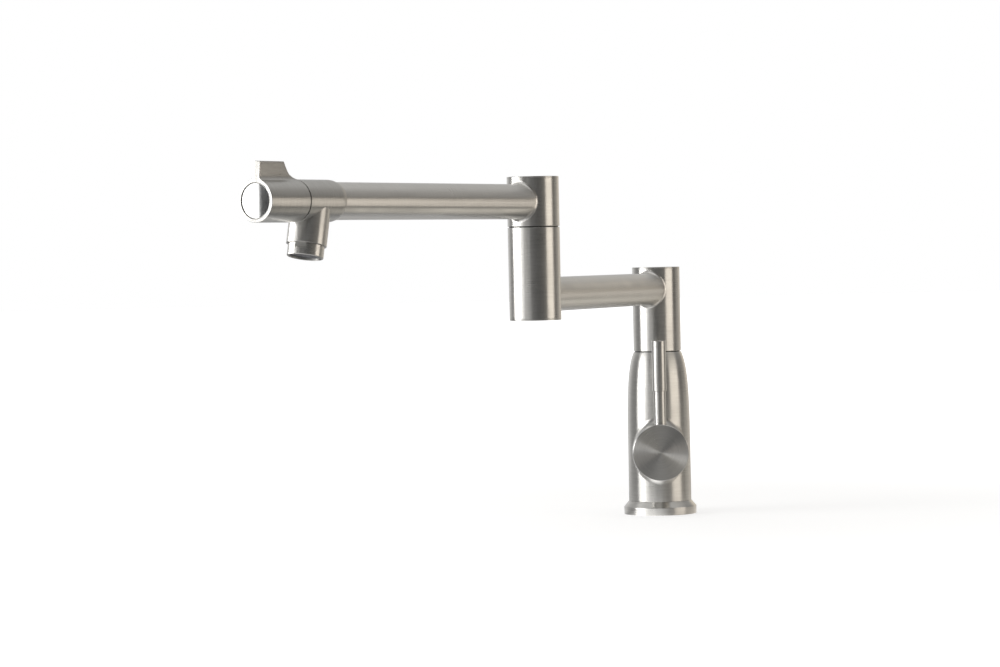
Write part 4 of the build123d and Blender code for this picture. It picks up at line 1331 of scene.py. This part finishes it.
# in the steel the far floor glows with painted tones, not its lit colour: the tone of the wall beyond it,
# and a painted beige sheen behind the tap on the right with a dark joint
far_tone, near_tone, foot_tone = (
    node(floor_tree, "ShaderNodeGroup", node_tree=band, Way=floor_spot).outputs
    for band in (room_tree, near_floor_tree, foot_floor_tree)
)
floor_bearing = far_tone["Bearing"]
painted_sheen = maths(
    floor_tree, "MULTIPLY",
    eased(floor_tree, floor_bearing, radians(98), radians(116)),
    eased(floor_tree, floor_reach, 0.38, 0.45),
)
lifted = mixed(floor_tree, 1.0, far_tone["Tone"], (0.03, 0.03, 0.03, 1), "ADD")
far_floor = mixed(floor_tree, painted_sheen, lifted, (0.34, 0.32, 0.29, 1))
past_near = eased(floor_tree, floor_reach, 0.18, 0.32)
past_foot = eased(floor_tree, floor_reach, 0.055, 0.08)
floor_seen = mixed(floor_tree, past_near, near_tone["Tone"], far_floor)
floor_seen = mixed(floor_tree, past_foot, foot_tone["Tone"], floor_seen)
# painted paler patches that only the steel's reflections show: under the reach of the arms, in front on the
# left, and far on the right
for rings, turns, colour in (
    ((0.13, 0.19, 0.31, 0.38), (-10, 12, 130, 155), (0.43, 0.41, 0.37)),
    ((0.36, 0.44, 0.66, 0.82), (-50, -43, -24, -12), (0.60, 0.60, 0.60)),
    ((0.50, 0.57, 1.00, 1.30), (44, 50, 80, 88), (0.78, 0.72, 0.64)),
):
    patch = maths(
        floor_tree, "MULTIPLY",
        between(floor_tree, floor_reach, *rings),
        between(floor_tree, floor_bearing, *map(radians, turns)),
    )
    floor_seen = mixed(floor_tree, patch, floor_seen, (*colour, 1))
# rays off the steel see the floor as a glow of these painted tones, not as its lit colour
floor_painted_glow = node(floor_tree, "ShaderNodeEmission", floor_seen, brightest)
floor_mix = node(
    floor_tree, "ShaderNodeMixShader",
    floor_ray["Is Glossy Ray"], floor_shader.outputs[0], floor_painted_glow.outputs[0],
)
floor_tree.links.new(floor_mix.outputs[0], floor_tree.nodes["Material Output"].inputs["Surface"])
floor_half = 12
floor_mesh = bpy.data.meshes.new("floor")
floor_mesh.from_pydata(
    [(x * floor_half, y * floor_half, 0) for x, y in ((-1, -1), (1, -1), (1, 1), (-1, 1))],
    [],
    [(0, 1, 2, 3)],
)
floor_mesh.materials.append(floor_finish)
floor = bpy.data.objects.new("floor", floor_mesh)
bpy.context.scene.collection.objects.link(floor)

world = bpy.data.worlds.new("studio")
bpy.context.scene.world = world
world.use_nodes = True
world_tree = world.node_tree
world_tree.nodes.clear()
look = node(world_tree, "ShaderNodeTexCoord").outputs["Generated"]
look_back, look_rise = node(world_tree, "ShaderNodeSeparateXYZ", look).outputs[1:]
room = node(world_tree, "ShaderNodeGroup", node_tree=room_tree, Way=look).outputs
level_glow = eased(world_tree, look_rise, 0.08, 0.42, 1.2, 0.5)
wall_light = node(
    world_tree, "ShaderNodeVectorMath", room["Tone"], operation="SCALE", Scale=level_glow
)
# behind the tap the walls grow paler upwards
upper_glow = maths(
    world_tree, "MULTIPLY",
    eased(world_tree, look_rise, 0.08, 0.4, 0.0, 0.16),
    eased(world_tree, look_back, -0.5, 0.0),
)
wall_sum = node(
    world_tree, "ShaderNodeVectorMath", wall_light.outputs[0], upper_glow, operation="ADD"
)
# the ceiling is lighter towards the front, and shows in the foot's bevel
overhead = eased(world_tree, look_rise, 0.58, 0.92)
ceiling = eased(world_tree, look_back, -0.35, 0.1, 0.62, 0.36)
room_seen = mixed(world_tree, overhead, wall_sum.outputs[0], ceiling)
# a pale stretch of wall far behind the tap on the right, level with its arms
stretch_share = maths(
    world_tree, "MULTIPLY",
    eased(world_tree, look_rise, 0.3, 0.46, 1.0, 0.0),
    between(world_tree, room["Bearing"], *map(radians, (128, 144, 164, 178))),
)
room_seen = mixed(world_tree, stretch_share, room_seen, (0.46, 0.42, 0.36, 1))
room_light = node(world_tree, "ShaderNodeBackground", room_seen, brightest)
white_room = node(world_tree, "ShaderNodeBackground", (1, 1, 1, 1), 1.0)
which = node(
    world_tree, "ShaderNodeMixShader",
    node(world_tree, "ShaderNodeLightPath").outputs["Is Camera Ray"],
    room_light.outputs[0],
    white_room.outputs[0],
)
node(world_tree, "ShaderNodeOutputWorld", Surface=which.outputs[0])


def softbox(name, place, target, width, height, radiance, colour):
    """A flat lamp of even brightness: its power is radiance times area times pi."""
    data = bpy.data.lights.new(name, "AREA")
    data.shape = "RECTANGLE"
    data.size, data.size_y = width, height
    data.energy = radiance * width * height * pi
    data.color = colour
    made = bpy.data.objects.new(name, data)
    made.location = place
    made.rotation_euler = (Vector(target) - Vector(place)).to_track_quat("-Z", "Y").to_euler()
    made.visible_camera = False
    bpy.context.scene.collection.objects.link(made)


def standing_panel(name, near, far, middle, height, radiance, colour):
    """A soft lamp standing upright over the line between two places, facing the tap."""
    near, far = Vector((*near, middle)), Vector((*far, middle))
    centre = (near + far) / 2
    run = far - near
    facing = Vector((-run.y, run.x, 0)).normalized()
    if facing.dot(centre) > 0:
        facing = -facing
    softbox(name, centre, centre + facing, run.length, height, radiance, colour)


# the left panel has a dim edge, a gap and then a wing that fades to the front
white = (1, 1, 1)
standing_panel("left_panel_edge", (-0.79, -0.6755), (-0.806, -0.60), 0.27, 0.5, 2.2, white)
standing_panel("left_panel", (-0.806, -0.60), (-0.93, -0.06), 0.265, 0.39, 7.0, white)
standing_panel("left_wing_bright", (-0.785, -0.692), (-0.72, -0.79), 0.22, 0.40, 2.4, white)
standing_panel("left_wing_middle", (-0.72, -0.79), (-0.58, -0.985), 0.13, 0.25, 0.9, white)
standing_panel("left_wing_dim", (-0.58, -0.985), (-0.40, -1.2), 0.13, 0.25, 0.6, white)
standing_panel("right_card", (0.80, -0.80), (1.3, -0.16), 0.235, 0.47, 1.9, tuple(warm_tint))
